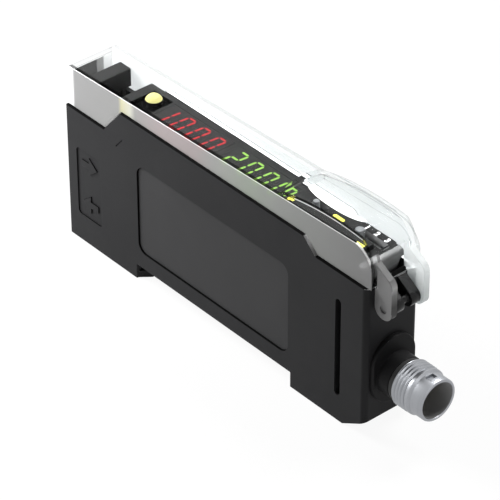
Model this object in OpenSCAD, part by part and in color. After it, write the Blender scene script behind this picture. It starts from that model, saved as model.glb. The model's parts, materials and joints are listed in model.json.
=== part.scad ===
// Fibre optic sensor amplifier for a 35 mm rail: a slim moulded case with a clear hinged cover,
// two display modules, a rocker, two slide switches, a lever clamp for two fibres and a round connector.
// The origin is the middle of the rail seat, +X points to the connector end and +Z away from the rail.
// Sizes are in millimetres, and every height is measured from the rail seat.

/* [Case] */
// Thickness of the case along the rail
case_t = 10; // [9.8:0.1:14]
// Distance from the rail's middle to the fibre end
fibre_end = 34.05; // [33.5:0.05:40]
// Distance from the rail's middle to the connector end
plug_end = 33.65; // [33.3:0.05:40]
// Height of the display deck
deck_z = 25.95; // [25:0.05:30]
// Height of the ledge at the fibre end
fibre_ledge_z = 21.15; // [20.5:0.05:21.8]
// Height of the ledge at the connector end
plug_ledge_z = 23.65; // [22.5:0.05:24.4]
// Distance from the rail's middle to the deck's edge at the fibre end
deck_from = 20.7; // [19:0.05:22]
// Distance from the rail's middle to the deck's edge at the connector end
deck_to = 20.36; // [18:0.05:24]
// Run of the slope down to the ledge at the fibre end
fibre_slope = 4.08; // [2:0.02:6]
// Run of the slope down to the ledge at the connector end
plug_slope = 2.48; // [1:0.02:5]
// Thickness of the side walls
wall = 1.1; // [0.9:0.05:1.3]
// Thickness of the end walls
end_wall = 1.7; // [1.2:0.05:2]
// Thickness of the floor above the rail seat
floor_t = 1.6; // [1.2:0.05:1.9]
// Radius of the upright edges at the connector end
edge_r = 0.9; // [0.3:0.05:1.2]
// Radius of the upright edges at the fibre end
fibre_edge_r = 0.2; // [0.1:0.05:1]

/* [Rail foot] */
// Width of the rail notch
rail_w = 35.4; // [35.1:0.05:36.4]
// Depth of the rail notch
foot_drop = 2.65; // [2.4:0.05:4]
// Run of the heel at the connector end
heel_run = 4.62; // [1:0.02:4.7]
// Rise of the heel at the connector end
heel_rise = 2.67; // [1:0.01:4]
// Reach of the fixed hook and of the latch nose under the rail
hook_reach = 1.4; // [0.8:0.05:2]
// Thickness of the fixed hook and of the latch nose
hook_t = 1.25; // [0.9:0.05:1.3]
// Length of the latch body
latch_l = 6.8; // [5:0.1:7.5]
// Width of the latch body
latch_w = 5; // [4:0.1:5.6]
// Reach of the latch's side runners
runner_w = 0.8; // [0.5:0.05:0.9]
// Thickness of the latch's side runners
runner_t = 0.8; // [0.5:0.05:1]
// Travel of the latch
latch_travel = 1.6; // [0.8:0.1:1.8]
// Length of the fitted latch spring
spring_l = 4.8; // [4:0.1:5]
// Mean radius of the latch spring
spring_r = 0.95; // [0.8:0.05:1]
// Radius of the spring wire
spring_wire_r = 0.18; // [0.12:0.02:0.2]
// Turns of the latch spring
spring_turns = 5; // [4:1:6]

/* [Side face] */
// Half length of the label recess
label_half = 17.1; // [14:0.05:19]
// Bottom of the label recess
label_z0 = 2.85; // [2.5:0.05:6]
// Top of the label recess
label_z1 = 18.7; // [16:0.05:20]
// Corner radius of the label recess
label_r = 1.7; // [0.5:0.05:3]
// Depth of the label recess
recess_d = 0.4; // [0.2:0.05:0.5]
// Thickness of the label film
label_t = 0.15; // [0.1:0.01:0.18]
// Distance from the rail's middle to the slot in the side face
slot_x = 27.3; // [26.5:0.05:28]
// Width of the slot in the side face
slot_w = 1.1; // [0.6:0.05:1.4]
// Bottom of the slot in the side face
slot_z0 = 1.95; // [1.9:0.05:5]
// Top of the slot in the side face
slot_z1 = 18.95; // [14:0.05:19.4]

/* [Clear cover] */
// Ledge left free around the cover
cover_ledge = 0.38; // [0.3:0.01:0.4]
// Wall of the clear cover
cover_wall = 0.7; // [0.6:0.05:0.7]
// Height of the cover's top at the fibre end
cover_low_z = 28.05; // [27.6:0.05:28.8]
// Height of the cover's top where the dome starts
cover_flat_z = 29.6; // [28.8:0.05:29.8]
// Radius of the cover's end over the fibres
cover_end_r = 1.6; // [1:0.1:2]
// Radius of the cover's end over the hinge
cover_roll_r = 4.5; // [3:0.1:5]
// Crown of the cover's dome
dome_z = 32.6; // [32:0.05:33.5]
// Where the dome starts, from the rail's middle
dome_x = 14.5; // [12:0.1:18]
// Radius of the dome's arched section
dome_arch_r = 8.1; // [7.8:0.1:10]
// Radius of the dome's long crown
dome_crown_r = 50; // [40:0.5:60]
// Top of the dome's crown, from the rail's middle
dome_top_x = 26.5; // [25:0.1:28]
// Radius of the dome's rolled end
dome_end_r = 6; // [5:0.1:7]
// Step of the dome's sides and end behind the cover's
dome_inset = 0.3; // [0.2:0.05:0.4]
// Reach of the cover past the fibre end
cover_over_fibre = 0.35; // [0.1:0.05:0.6]
// Reach of the cover past the connector end
cover_over_plug = 0.5; // [0.4:0.01:0.9]

/* [Cover hinge] */
// Distance from the connector end to the hinge axis
hinge_out = 1.85; // [1.85:0.01:2.4]
// Height of the hinge axis
hinge_z = 20.8; // [20.5:0.05:21.5]
// Radius of the case's hinge knuckles
knuckle_r = 1.35; // [1.2:0.05:1.6]
// Radius of the cover's hinge studs
stud_r = 0.65; // [0.5:0.05:0.75]
// Length of the cover's hinge studs
stud_l = 1.2; // [0.8:0.05:1.3]
// Radius of the ears round the hinge axis
ear_r = 1.75; // [1.5:0.05:1.75]
// Thickness of the ears
ear_t = 1.1; // [0.9:0.02:1.3]
// Inner faces of the knuckles, from the middle
knuckle_gap = 0.7; // [0.5:0.05:0.8]
// Outer faces of the knuckles, from the middle
knuckle_out = 2.4; // [2.3:0.01:2.6]

/* [Top panel] */
// Distance from the rail's middle to the panel's end at the fibre side
panel_from = 24; // [23.6:0.05:24.2]
// Distance from the connector end to the panel's rolled end
panel_back = 1.25; // [1.2:0.01:1.5]
// Radius of the panel's rolled end
panel_roll_r = 2.3; // [2:0.05:2.3]
// Thickness of the panel's top
panel_t = 1.1; // [0.9:0.05:1.1]
// Thickness of the panel's skirt
panel_skirt_t = 0.9; // [0.8:0.02:0.9]
// Height of the panel's skirt under the deck
panel_skirt_h = 4.55; // [4.5:0.05:5]
// Side gap between the panel and the case
panel_gap = 0.05; // [0.03:0.01:0.1]

/* [Displays and lamp] */
// Left end of the red display
red_x = -17.2; // [-17.3:0.05:-17]
// Length of each display
display_l = 13.6; // [13:0.05:13.8]
// Left end of the green display
green_x = -2.4; // [-2.8:0.05:-2.3]
// Width of the displays
display_w = 5.2; // [4.6:0.05:5.4]
// Middle of the displays across the deck
display_y = 0.15; // [0:0.01:0.2]
// Lamp position along the deck
lamp_x = -20; // [-20.2:0.05:-19.6]
// Lamp position across the deck
lamp_y = 0.95; // [-1:0.05:1]
// Radius of the lamp
lamp_r = 1.3; // [1.2:0.05:1.45]
// Height of the lamp's seat over the deck
lamp_rise = 0.4; // [0.2:0.05:0.9]
// Height of the lamp's dome
lamp_dome = 0.85; // [0.7:0.05:1]
// Depth of the lamp's pocket
pocket_d = 0.8; // [0.4:0.05:0.85]

/* [Rocker and switches] */
// Gap from the green display to the rocker
rocker_in = 0.8; // [0.7:0.05:0.9]
// Length of the rocker
rocker_l = 17; // [16:0.1:17.2]
// Width of the rocker
rocker_w = 3.55; // [3.4:0.05:3.55]
// Side of the rocker that faces the middle
rocker_y1 = 0.55; // [0.5:0.05:0.7]
// Height of the rocker's middle over the deck
rocker_proud = 0.9; // [0.7:0.05:1.1]
// Height of the rocker's ends over the deck
rocker_end_proud = 0.7; // [0.5:0.05:0.7]
// Downward travel of the rocker and its yoke
press_travel = 0.3; // [0.2:0.05:0.4]
// Radius of the yoke's pivot pin
pivot_r = 0.5; // [0.4:0.02:0.55]
// Line of the slide switches across the deck
switch_y = 1.75; // [1.7:0.01:1.8]
// Position of the mode switch's knob
mode_x = 24.8; // [24.4:0.05:25]
// Travel of the mode switch's knob
mode_travel = 4.2; // [3:0.1:4.4]
// Position of the output switch's knob
output_x = 15.6; // [15:0.05:15.8]
// Travel of the output switch's knob
output_travel = 1.5; // [1:0.1:1.6]
// Diameter of the mode switch's knob
mode_knob_w = 1.4; // [1:0.05:1.45]
// Diameter of the output switch's knob
output_knob_w = 1; // [0.8:0.05:1.2]
// Height of the knobs over the deck
knob_proud = 0.4; // [0.2:0.05:0.6]

/* [Fibre end] */
// Height of the upper fibre port
port_hi_z = 12.2; // [12:0.05:12.6]
// Height of the lower fibre port
port_lo_z = 5.1; // [4.8:0.05:5.3]
// Radius of the fibre ports
port_r = 1.1; // [0.6:0.05:1.2]
// Width of the fibre block
block_w = 5.9; // [5.6:0.05:6.2]
// Length of the block's nose
nose_l = 2.45; // [2:0.05:2.6]
// Distance from the fibre end to the lever's pivot
lever_in = 5.45; // [5.2:0.05:5.6]
// Thickness of the lever's tab
tab_t = 2.6; // [1.6:0.05:2.6]
// Width of the lever's tab
tab_w = 7.4; // [6:0.1:7.5]
// Height of the lever's tab
tab_h = 3.2; // [3:0.05:3.6]
// Room under the lever's tab for its swing
tab_gap = 0.6; // [0.55:0.05:0.8]
// Distance from the fibre end to the tab
tab_in = 2.65; // [2.4:0.05:2.7]
// Radius of the lever's pin
lever_pin_r = 0.8; // [0.6:0.05:0.9]
// Radius of the lever's hub
hub_r = 1.7; // [1.5:0.05:1.9]
// Radius of the emitter and receiver
diode_r = 1.5; // [1.2:0.05:1.6]

/* [Connector] */
// Height of the connector's axis
plug_z = 7.55; // [7:0.05:8.2]
// Width of the collar
collar_w = 8.1; // [7.4:0.05:9.2]
// Height of the collar
collar_h = 11.3; // [9.4:0.05:12]
// Rise of the collar's middle over the connector's axis
collar_rise = 0.55; // [0:0.05:1]
// Thickness of the collar
collar_t = 0.8; // [0.6:0.05:1.8]
// Radius of the neck behind the shell
neck_r = 3.45; // [3.3:0.01:3.55]
// Length of the neck in front of the collar
neck_l = 2.25; // [1:0.05:2.5]
// Thickness of the seal between neck and shell
seal_t = 0.8; // [0.5:0.05:1.2]
// Radius of the shell's threaded ring
ring_r = 3.75; // [3.65:0.01:4.2]
// Length of the shell's threaded ring
ring_l = 3.6; // [2.5:0.05:5]
// Radius of the shell's front barrel
barrel_r = 3.4; // [3.2:0.01:3.6]
// Length of the shell's front barrel
barrel_l = 2.3; // [1.5:0.05:4]
// Radius of the shell's bore
shell_bore_r = 2.9; // [2.8:0.01:3]
// Depth of the open socket in the shell
socket_d = 4.8; // [3.5:0.05:5]
// Radius of the contact pins
contact_r = 0.42; // [0.3:0.01:0.5]
// Radius of the circle of contact pins
contact_ring_r = 1.35; // [1.1:0.01:1.6]
// Number of contact pins
contacts = 4; // [3:1:6]

/* [Boards] */
// Thickness of the circuit boards
board_t = 1; // [0.8:0.05:1.2]
// Side of the main board that faces the side face
main_board_y = 0.8; // [0.5:0.05:1]

/* [Fits] */
// Radial clearance of hinge studs and pins
pin_gap = 0.05; // [0.02:0.01:0.08]
// Clearance of pieces seated in pockets
seat_gap = 0.05; // [0.03:0.01:0.08]
// Clearance of sliding and tilting pieces
slide_gap = 0.12; // [0.1:0.01:0.15]
// Gap under the closed cover
cover_gap = 0.1; // [0.08:0.01:0.15]

/* [Hidden] */
$fn = 48;
// Overshoot of cuts
e = 0.2;

// Case
face_y = case_t / 2;
inner_y = face_y - wall;
rail_half = rail_w / 2;
cavity_x0 = -(fibre_end - end_wall);
cavity_x1 = plug_end - end_wall;
cavity_z1 = fibre_ledge_z - 1.45;
skyline = [
    [-fibre_end, fibre_ledge_z], [-deck_from - fibre_slope, fibre_ledge_z], [-deck_from, deck_z],
    [deck_to, deck_z], [deck_to + plug_slope, plug_ledge_z], [plug_end, plug_ledge_z]
];
soles = [
    [plug_end, heel_rise - foot_drop], [plug_end - heel_run, -foot_drop], [rail_half, -foot_drop],
    [rail_half, 0], [-rail_half, 0], [-rail_half, -foot_drop], [-fibre_end, -foot_drop]
];
// Arrow field and tick on the side face
picto_in = 2.25;
picto_l = 5.8;
picto_up = 2.35;
picto_down = 2.8;
picto_d = 0.2;
tick_drop = 5.5;
tick_l = 2.4;
tick_w = 0.16;
tick_d = 0.12;
slope_turn = atan2(deck_z - fibre_ledge_z, fibre_slope);
// Latch and its channel in the foot
latch_x0 = rail_half + seat_gap;
latch_x1 = latch_x0 + latch_l;
channel_x1 = latch_x1 + spring_l;
channel_z1 = 0.4;
latch_z0 = -foot_drop + slide_gap;
latch_z1 = channel_z1 - slide_gap;
runner_z0 = -1.2;
spring_z = -1.1;
// Clear cover
cover_y = face_y - cover_ledge;
cover_in_y = cover_y - cover_wall;
cover_x0 = -fibre_end - cover_over_fibre;
cover_x1 = plug_end + cover_over_plug;
cover_slope = (cover_flat_z - cover_low_z) / (dome_x - cover_x0);
dome_x1 = cover_x1 - dome_inset;
roll_end_x = dome_x1 - dome_end_r;
roll_end_z = dome_z - dome_crown_r
    + sqrt(pow(dome_crown_r - dome_end_r, 2) - pow(roll_end_x - dome_top_x, 2));
// Cover hinge
hinge_x = plug_end + hinge_out;
ear_y0 = knuckle_out + slide_gap;
ear_y1 = ear_y0 + ear_t;
ear_shoulder_r = 1.5;
ear_root_z = deck_z + 2.6;
ear_dimple_r = 0.6;
ear_dimple_d = 0.25;
// Top panel
panel_y = inner_y - panel_gap;
panel_x1 = plug_end - panel_back;
panel_z0 = deck_z - panel_skirt_h;
roll_x = panel_x1 - panel_roll_r;
pocket_l = 4.3;
pocket_y = 2.9;
lamp_stem_r = 0.9;
end_notch_r = 2.5;
// Rocker
rocker_y0 = rocker_y1 - rocker_w;
rocker_y = (rocker_y0 + rocker_y1) / 2;
rocker_side_gap = 0.15;
rocker_wall = 0.5;
rocker_x = green_x + display_l + rocker_in + rocker_l / 2;
rocker_core_z = deck_z - 0.3;
tact_l = 3.2;
tact_w = 3;
tact_body_h = 1.3;
plunger_r = 0.8;
tact_reach = rocker_l / 2 - tact_l / 2;
tact_h = 1.75;
tact_top_z = panel_z0 + tact_h;
yoke_z0 = tact_top_z + press_travel + 0.05;
yoke_z1 = yoke_z0 + 0.5;
pivot_z = yoke_z1 + pivot_r + 0.25;
pad_z = yoke_z0 + 0.4;
pad_l = 1.8;
pad_w = 2.6;
clevis_l = 3;
clevis_y0 = 0.62;
clevis_t = 0.5;
// Switches
switch_top_z = deck_z - panel_t - 0.35;
switch_w = 1.7;
switch_overhang = 1.2;
knob_foot_t = 0.25;
// Fibre end
block_z0 = port_lo_z - 2.7;
block_z1 = port_hi_z + 2.7;
nose_x1 = -fibre_end + nose_l;
lever_x = -fibre_end + lever_in;
lever_z = (port_hi_z + port_lo_z) / 2;
tab_x0 = -fibre_end + tab_in;
tab_x1 = tab_x0 + tab_t;
tab_z0 = platform_z() + tab_gap;
rear_x0 = lever_x + 3.6;
rear_l = 2.4;
diode_tail = 0.75;
fork_y0 = 1.9;
fork_y1 = 2.7;
lever_web = 1.1;
// Boards
board_z1 = panel_z0;
board_z0 = board_z1 - board_t;
main_board_z0 = floor_t + 0.6;
main_board_z1 = cavity_z1 - 0.7;
main_board_x0 = rear_x0 + rear_l + diode_tail + 0.35;
main_board_x1 = cavity_x1 - 0.45;
standoffs = [[-14, 10], [20, 14]];
header_l = 12;
header_w = 2.4;
// Connector
neck_x1 = plug_end + collar_t + neck_l;
shell_x0 = neck_x1 + seal_t;
ring_x1 = shell_x0 + ring_l;
plug_x1 = ring_x1 + barrel_l;
insert_x0 = cavity_x1 + 0.1;
insert_x1 = plug_x1 - socket_d;
contact_proud = 0.9;

// Height of the platform under the lever's tab
function platform_z() = fibre_ledge_z + 1.4;
// Height of the cover's top, without the dome, at a place along X
function roof_z(x) = cover_low_z + cover_slope * (x - cover_x0);
// Touch point on a circle of the line from a point outside it, on the side that side names
function touch(p, c, r, side) =
    let (d = p - c, a = atan2(d[1], d[0]) + side * acos(r / norm(d)))
    c + r * [cos(a), sin(a)];

// A drawing in X and Z, pulled from y0 to y1
module along_y(y0, y1) {
    translate([0, y1, 0]) rotate([90, 0, 0]) linear_extrude(y1 - y0) children();
}

// A drawing in Y and Z, pulled from x0 to x1
module along_x(x0, x1) {
    translate([x0, 0, 0]) rotate([90, 0, 90]) linear_extrude(x1 - x0) children();
}

// A drawing in X and Y, pulled from z0 to z1
module along_z(z0, z1) {
    translate([0, 0, z0]) linear_extrude(z1 - z0) children();
}

// A box between two corners
module box(x0, x1, y0, y1, z0, z1) {
    translate([x0, y0, z0]) cube([x1 - x0, y1 - y0, z1 - z0]);
}

// A rod along Y
module rod_y(x, z, y0, y1, r) {
    translate([x, y1, z]) rotate([90, 0, 0]) cylinder(h = y1 - y0, r = r);
}

// A rod along X
module rod_x(y, z, x0, x1, r) {
    translate([x0, y, z]) rotate([0, 90, 0]) cylinder(h = x1 - x0, r = r);
}

// A rectangle
module rect(x0, x1, y0, y1) {
    translate([x0, y0]) square([x1 - x0, y1 - y0]);
}

// A rectangle with round corners
module round_rect(x0, x1, y0, y1, r) {
    rect(x0 + r, x1 - r, y0, y1);
    rect(x0, x1, y0 + r, y1 - r);
    for (x = [x0 + r, x1 - r], y = [y0 + r, y1 - r])
        translate([x, y]) circle(r);
}

// An upright oblong of a given width and height
module oblong(w, h) {
    rect(-w / 2, w / 2, -(h - w) / 2, (h - w) / 2);
    for (z = [-1, 1] * (h - w) / 2)
        translate([0, z]) circle(w / 2);
}

// The side view of the case
module case_profile() {
    polygon(concat(skyline, soles));
}

// The plan of the case, with crisper edges at the fibre end
module case_plan() {
    round_rect(-fibre_end, 0, -face_y, face_y, fibre_edge_r);
    round_rect(-rail_half, plug_end, -face_y, face_y, edge_r);
}

// The side view of the room inside the case, smaller by a gap all round
module cavity_profile(gap) {
    rect(cavity_x0 + gap, cavity_x1 - gap, floor_t + gap, cavity_z1 - gap);
}

// The arrows beside the fibre ports: one points in and one points out
module arrow(x, z, way) {
    translate([x, z]) scale([way, 1])
        polygon([
            [-1.9, -0.57], [-0.1, -0.57], [-0.1, -1.6], [1.9, 0], [-0.1, 1.6], [-0.1, 0.57], [-1.9, 0.57]
        ]);
}

module port_pictogram() {
    x0 = -fibre_end + picto_in;
    difference() {
        round_rect(x0, x0 + picto_l, port_lo_z - picto_down, port_hi_z + picto_up, 0.7);
        arrow(x0 + picto_l / 2 + 0.15, port_hi_z, 1);
        arrow(x0 + picto_l / 2 + 0.15, port_lo_z, -1);
    }
}

// One hinge arm and its knuckle, on one side of the middle
module hinge_arm(side) {
    axis = [hinge_x, hinge_z];
    top = [plug_end, plug_ledge_z - 0.1];
    foot = [plug_end, hinge_z - knuckle_r - 0.5];
    along_y(min(side * knuckle_gap, side * knuckle_out), max(side * knuckle_gap, side * knuckle_out)) {
        polygon([
            top - [0.5, 0], top, touch(top, axis, knuckle_r, -1), axis,
            touch(foot, axis, knuckle_r, 1), foot, foot - [0.5, 0]
        ]);
        translate(axis) circle(knuckle_r);
    }
}

module latch_channel() {
    half = latch_w / 2 + slide_gap;
    box(rail_half - e, channel_x1, -half, half, -foot_drop - e, channel_z1);
    box(rail_half - e, channel_x1, -half - runner_w, half + runner_w,
        runner_z0 - slide_gap, runner_z0 + runner_t + slide_gap);
}

// The moulded case: side face, ends, feet, ledges and hinge knuckles in one piece
module housing_case() {
    color("#2b2b2d") difference() {
        union() {
            intersection() {
                along_y(-face_y, face_y) case_profile();
                along_z(-foot_drop - e, deck_z + e) case_plan();
            }
            box(-fibre_end + 0.8, -panel_from - seat_gap, -cover_in_y + slide_gap, cover_in_y - slide_gap,
                cavity_z1, platform_z());
            for (side = [-1, 1])
                hinge_arm(side);
            rod_y(hinge_x, hinge_z, -knuckle_gap, knuckle_gap, stud_r);
            along_z(-foot_drop, -foot_drop + hook_t)
                polygon([
                    [-rail_half - e, -face_y + 0.3], [-rail_half, -face_y + 0.3],
                    [-rail_half + hook_reach, -face_y + 2], [-rail_half + hook_reach, face_y - 2],
                    [-rail_half, face_y - 0.3], [-rail_half - e, face_y - 0.3]
                ]);
        }
        difference() {
            along_y(-inner_y, face_y + e) cavity_profile(0);
            for (at = standoffs)
                rod_y(at[0], at[1], -inner_y, main_board_y, 1.3);
            rod_y(lever_x, lever_z, -inner_y, -fork_y1 - slide_gap, hub_r);
        }
        rod_y(lever_x, lever_z, -inner_y, 0, lever_pin_r + seat_gap);
        box(-panel_from - seat_gap, panel_x1 + seat_gap, -inner_y, inner_y, cavity_z1 - e, deck_z + e);
        box(tab_x0 - 0.4, -panel_from - lever_web, -fork_y1 - 0.3, fork_y1 + 0.3,
            cavity_z1 - e, platform_z() + e);
        box(-fibre_end - e, cavity_x0 + e, -block_w / 2 - seat_gap, block_w / 2 + seat_gap,
            block_z0 - seat_gap, block_z1 + seat_gap);
        rod_x(0, plug_z, cavity_x1 - e, plug_end + e, neck_r + seat_gap);
        along_y(-face_y - e, -face_y + recess_d)
            round_rect(-label_half, label_half, label_z0, label_z1, label_r);
        along_y(-face_y - e, -face_y + picto_d)
            port_pictogram();
        along_y(-face_y - e, -face_y + tick_d)
            translate([-deck_from - 0.45, deck_z - tick_drop]) rotate(slope_turn)
                square([tick_l, tick_w], center = true);
        along_y(-face_y - e, -inner_y + e)
            round_rect(slot_x, slot_x + slot_w, slot_z0, slot_z1, slot_w / 2 - 0.01);
        latch_channel();
        for (side = [-1, 1])
            rod_y(hinge_x, hinge_z, min(side * (knuckle_out - stud_l - slide_gap), side * (knuckle_out + e)),
                max(side * (knuckle_out - stud_l - slide_gap), side * (knuckle_out + e)), stud_r + pin_gap);
    }
}

// The plate that closes the case on the hidden side
module side_cover() {
    color("#2b2b2d") difference() {
        union() {
            along_y(inner_y, face_y) cavity_profile(seat_gap);
            rod_y(lever_x, lever_z, fork_y1 + slide_gap, inner_y, hub_r);
        }
        rod_y(lever_x, lever_z, 0, inner_y, lever_pin_r + seat_gap);
    }
}

// The plain label film in its recess
module side_label() {
    color("#4a4a4c") along_y(-face_y + recess_d - label_t, -face_y + recess_d)
        round_rect(-label_half + 0.1, label_half - 0.1, label_z0 + 0.1, label_z1 - 0.1, label_r - 0.1);
}

// The outside or, with a wall taken off, the inside of the clear cover
module cover_form(off) {
    half = cover_y - off;
    along_y(-half, half) cover_profile(off, fibre_ledge_z - e);
    intersection() {
        turned_arch(off);
        along_y(-face_y, face_y) dome_profile(off);
    }
}

// The side view of the cover without its dome: a rising top between two rolled ends
module cover_profile(off, floor_z) {
    x0 = cover_x0 + off;
    x1 = cover_x1 - off;
    difference() {
        polygon([[x0, floor_z], [x0, roof_z(x0) - off], [x1, roof_z(x1) - off], [x1, floor_z]]);
        rolled_corner(x0, 1, cover_end_r - off, off);
        rolled_corner(x1, -1, cover_roll_r - off, off);
    }
}

// What the roll takes off one end of the cover; it meets the top and the end at a small angle
module rolled_corner(x, way, r, off) {
    reach = 0.97 * r;
    middle = [x + way * reach, roof_z(x + way * reach) - off - reach];
    difference() {
        rect(min(x - way * r, middle[0]), max(x - way * r, middle[0]), middle[1], middle[1] + 2 * r);
        translate(middle) circle(r);
    }
}

// The arched section of the dome, turned about a far axis across the case
module turned_arch(off) {
    half = cover_y - dome_inset - off;
    spine = dome_crown_r - dome_arch_r;
    translate([dome_top_x, 0, dome_z - dome_crown_r]) rotate([90, 0, 0])
    rotate_extrude($fn = 180) intersection() {
        rect(0, dome_crown_r + e, -half, half);
        union() {
            translate([spine, 0]) circle(dome_arch_r - off);
            rect(0, spine + 1, -half, half);
        }
    }
}

// The side view of the dome: a straight run that ends in a roll
module dome_profile(off) {
    rect(dome_x + off, roll_end_x, 0, dome_z + e);
    translate([roll_end_x, roll_end_z]) circle(dome_end_r - off);
    rect(roll_end_x - e, dome_x1 - off, 0, roll_end_z);
}

// The room that the case's skyline leaves under the cover
module skyline_cut() {
    low = -foot_drop;
    polygon(concat(
        [[-fibre_end - case_t, low], [-fibre_end - case_t, fibre_ledge_z + cover_gap]],
        [
            [-deck_from - fibre_slope - cover_gap, fibre_ledge_z + cover_gap],
            [-deck_from - cover_gap, deck_z + cover_gap], [deck_to + cover_gap, deck_z + cover_gap],
            [deck_to + plug_slope + cover_gap, plug_ledge_z + cover_gap]
        ],
        [[plug_end + case_t, plug_ledge_z + cover_gap], [plug_end + case_t, low]]
    ));
}

// One ear of the cover, in side view: round at the hinge, with a root that runs into the dome's wall
module ear_profile() {
    axis = [hinge_x, hinge_z];
    shoulder = [hinge_x + ear_r - ear_shoulder_r, ear_root_z - 3.6];
    tip = [cover_x1 - 2 * cover_wall, ear_root_z - 0.2];
    translate(axis) circle(ear_r);
    translate(shoulder) circle(ear_shoulder_r);
    polygon([
        [hinge_x - ear_r, hinge_z], [hinge_x + ear_r, hinge_z], shoulder + [ear_shoulder_r, 0],
        touch(tip, shoulder, ear_shoulder_r, -1), tip, [tip[0] + 0.3, plug_ledge_z + 0.5],
        [hinge_x - ear_r, plug_ledge_z + 0.5]
    ]);
}

// The clear cover: stepped skirts, flat top, arched dome, ears and hinge studs in one moulding
module dust_cover() {
    color("#d8dcdf", 0.4) {
        difference() {
            cover_form(0);
            cover_form(cover_wall);
            along_y(-face_y - e, face_y + e) skyline_cut();
            box(cover_x1 - 2 * cover_wall, cover_x1 + e, -ear_y0, ear_y0, 0, ear_root_z);
        }
        for (side = [-1, 1]) {
            difference() {
                along_y(min(side * ear_y0, side * ear_y1), max(side * ear_y0, side * ear_y1)) ear_profile();
                rod_y(hinge_x, hinge_z, min(side * (ear_y1 - ear_dimple_d), side * (ear_y1 + e)),
                    max(side * (ear_y1 - ear_dimple_d), side * (ear_y1 + e)), ear_dimple_r);
            }
            rod_y(hinge_x, hinge_z, min(side * (knuckle_out - stud_l), side * (ear_y0 + e)),
                max(side * (knuckle_out - stud_l), side * (ear_y0 + e)), stud_r);
        }
    }
}

// The side view of the panel, smaller by a wall where it is cored
module panel_profile(off, z0) {
    rect(-panel_from + min(off, panel_skirt_t), roll_x, z0, deck_z - off);
    intersection() {
        translate([roll_x, deck_z - panel_roll_r]) circle(panel_roll_r - off);
        rect(roll_x - e, panel_x1, deck_z - panel_roll_r - e, deck_z);
    }
    rect(roll_x - e, panel_x1 - off, z0, deck_z - panel_roll_r);
}

// The window of a display
module display_window(x) {
    box(x - seat_gap, x + display_l + seat_gap, display_y - display_w / 2 - seat_gap,
        display_y + display_w / 2 + seat_gap, panel_z0 - e, deck_z + e);
}

// The slot of a switch knob, as long as the knob and its travel
module knob_slot(x, travel, w) {
    half = w / 2 + slide_gap;
    box(x - half, x + travel + half, switch_y - half, switch_y + half, panel_z0 - e, deck_z + e);
}

// The black panel over the boards, with its windows, lamp seat, rocker opening, switch slots and end notch
module top_panel() {
    core_y = panel_y - panel_skirt_t;
    color("#1f1f21") difference() {
        union() {
            difference() {
                along_y(-panel_y, panel_y) panel_profile(0, panel_z0);
                along_y(-core_y, core_y) panel_profile(panel_t, panel_z0 - e);
                box(lamp_x - pocket_l / 2, lamp_x + pocket_l / 2, -pocket_y, pocket_y,
                    deck_z - pocket_d, deck_z + e);
            }
            translate([lamp_x, lamp_y, deck_z - pocket_d - e])
                cylinder(h = pocket_d + e + lamp_rise, r = lamp_r - 0.1);
        }
        display_window(red_x);
        display_window(green_x);
        translate([lamp_x, lamp_y, panel_z0])
            cylinder(h = panel_skirt_h + lamp_rise + e, r = lamp_stem_r + seat_gap);
        box(rocker_x - rocker_l / 2 - 0.2, rocker_x + rocker_l / 2 + 0.2, rocker_y0 - rocker_side_gap,
            rocker_y1 + rocker_side_gap, yoke_z0 - press_travel, deck_z + e);
        knob_slot(mode_x, mode_travel, mode_knob_w);
        knob_slot(output_x, output_travel, output_knob_w);
        along_x(panel_x1 - panel_t - 0.5, panel_x1 + e)
            translate([panel_y, deck_z - end_notch_r - 0.95]) circle(end_notch_r);
    }
}

// A display module, flush with the deck
module display_module(x) {
    y0 = display_y - display_w / 2;
    box(x, x + display_l, y0, y0 + display_w, board_z1, deck_z);
}

module red_display() {
    color("#3a2020") display_module(red_x);
}

module green_display() {
    color("#20301c") display_module(green_x);
}

// The output lamp: a low domed lens on a flanged stem
module output_lamp() {
    seat_z = deck_z + lamp_rise;
    dome_r = (pow(lamp_r, 2) + pow(lamp_dome, 2)) / (2 * lamp_dome);
    color("#f4ef8c") translate([lamp_x, lamp_y, 0]) rotate_extrude() {
        rect(0, lamp_stem_r, board_z1, seat_z + 0.1);
        rect(0, lamp_stem_r + 0.6, board_z1, board_z1 + 0.6);
        intersection() {
            translate([0, seat_z + lamp_dome - dome_r]) circle(dome_r);
            rect(0, lamp_r, seat_z, seat_z + lamp_dome);
        }
    }
}

// The yoke under the rocker: a plate on the middle switch, a post and the pin that the rocker tilts on
module rocker_yoke() {
    color("#3a3a3d") {
        box(rocker_x - 2, rocker_x + 2, rocker_y - 1.15, rocker_y + 1.15, yoke_z0, yoke_z1);
        box(rocker_x - pivot_r, rocker_x + pivot_r, rocker_y - clevis_y0 + 0.12, rocker_y + clevis_y0 - 0.12,
            yoke_z1 - e, pivot_z);
        rod_y(rocker_x, pivot_z, rocker_y - clevis_y0 - clevis_t, rocker_y + clevis_y0 + clevis_t, pivot_r);
    }
}

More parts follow.
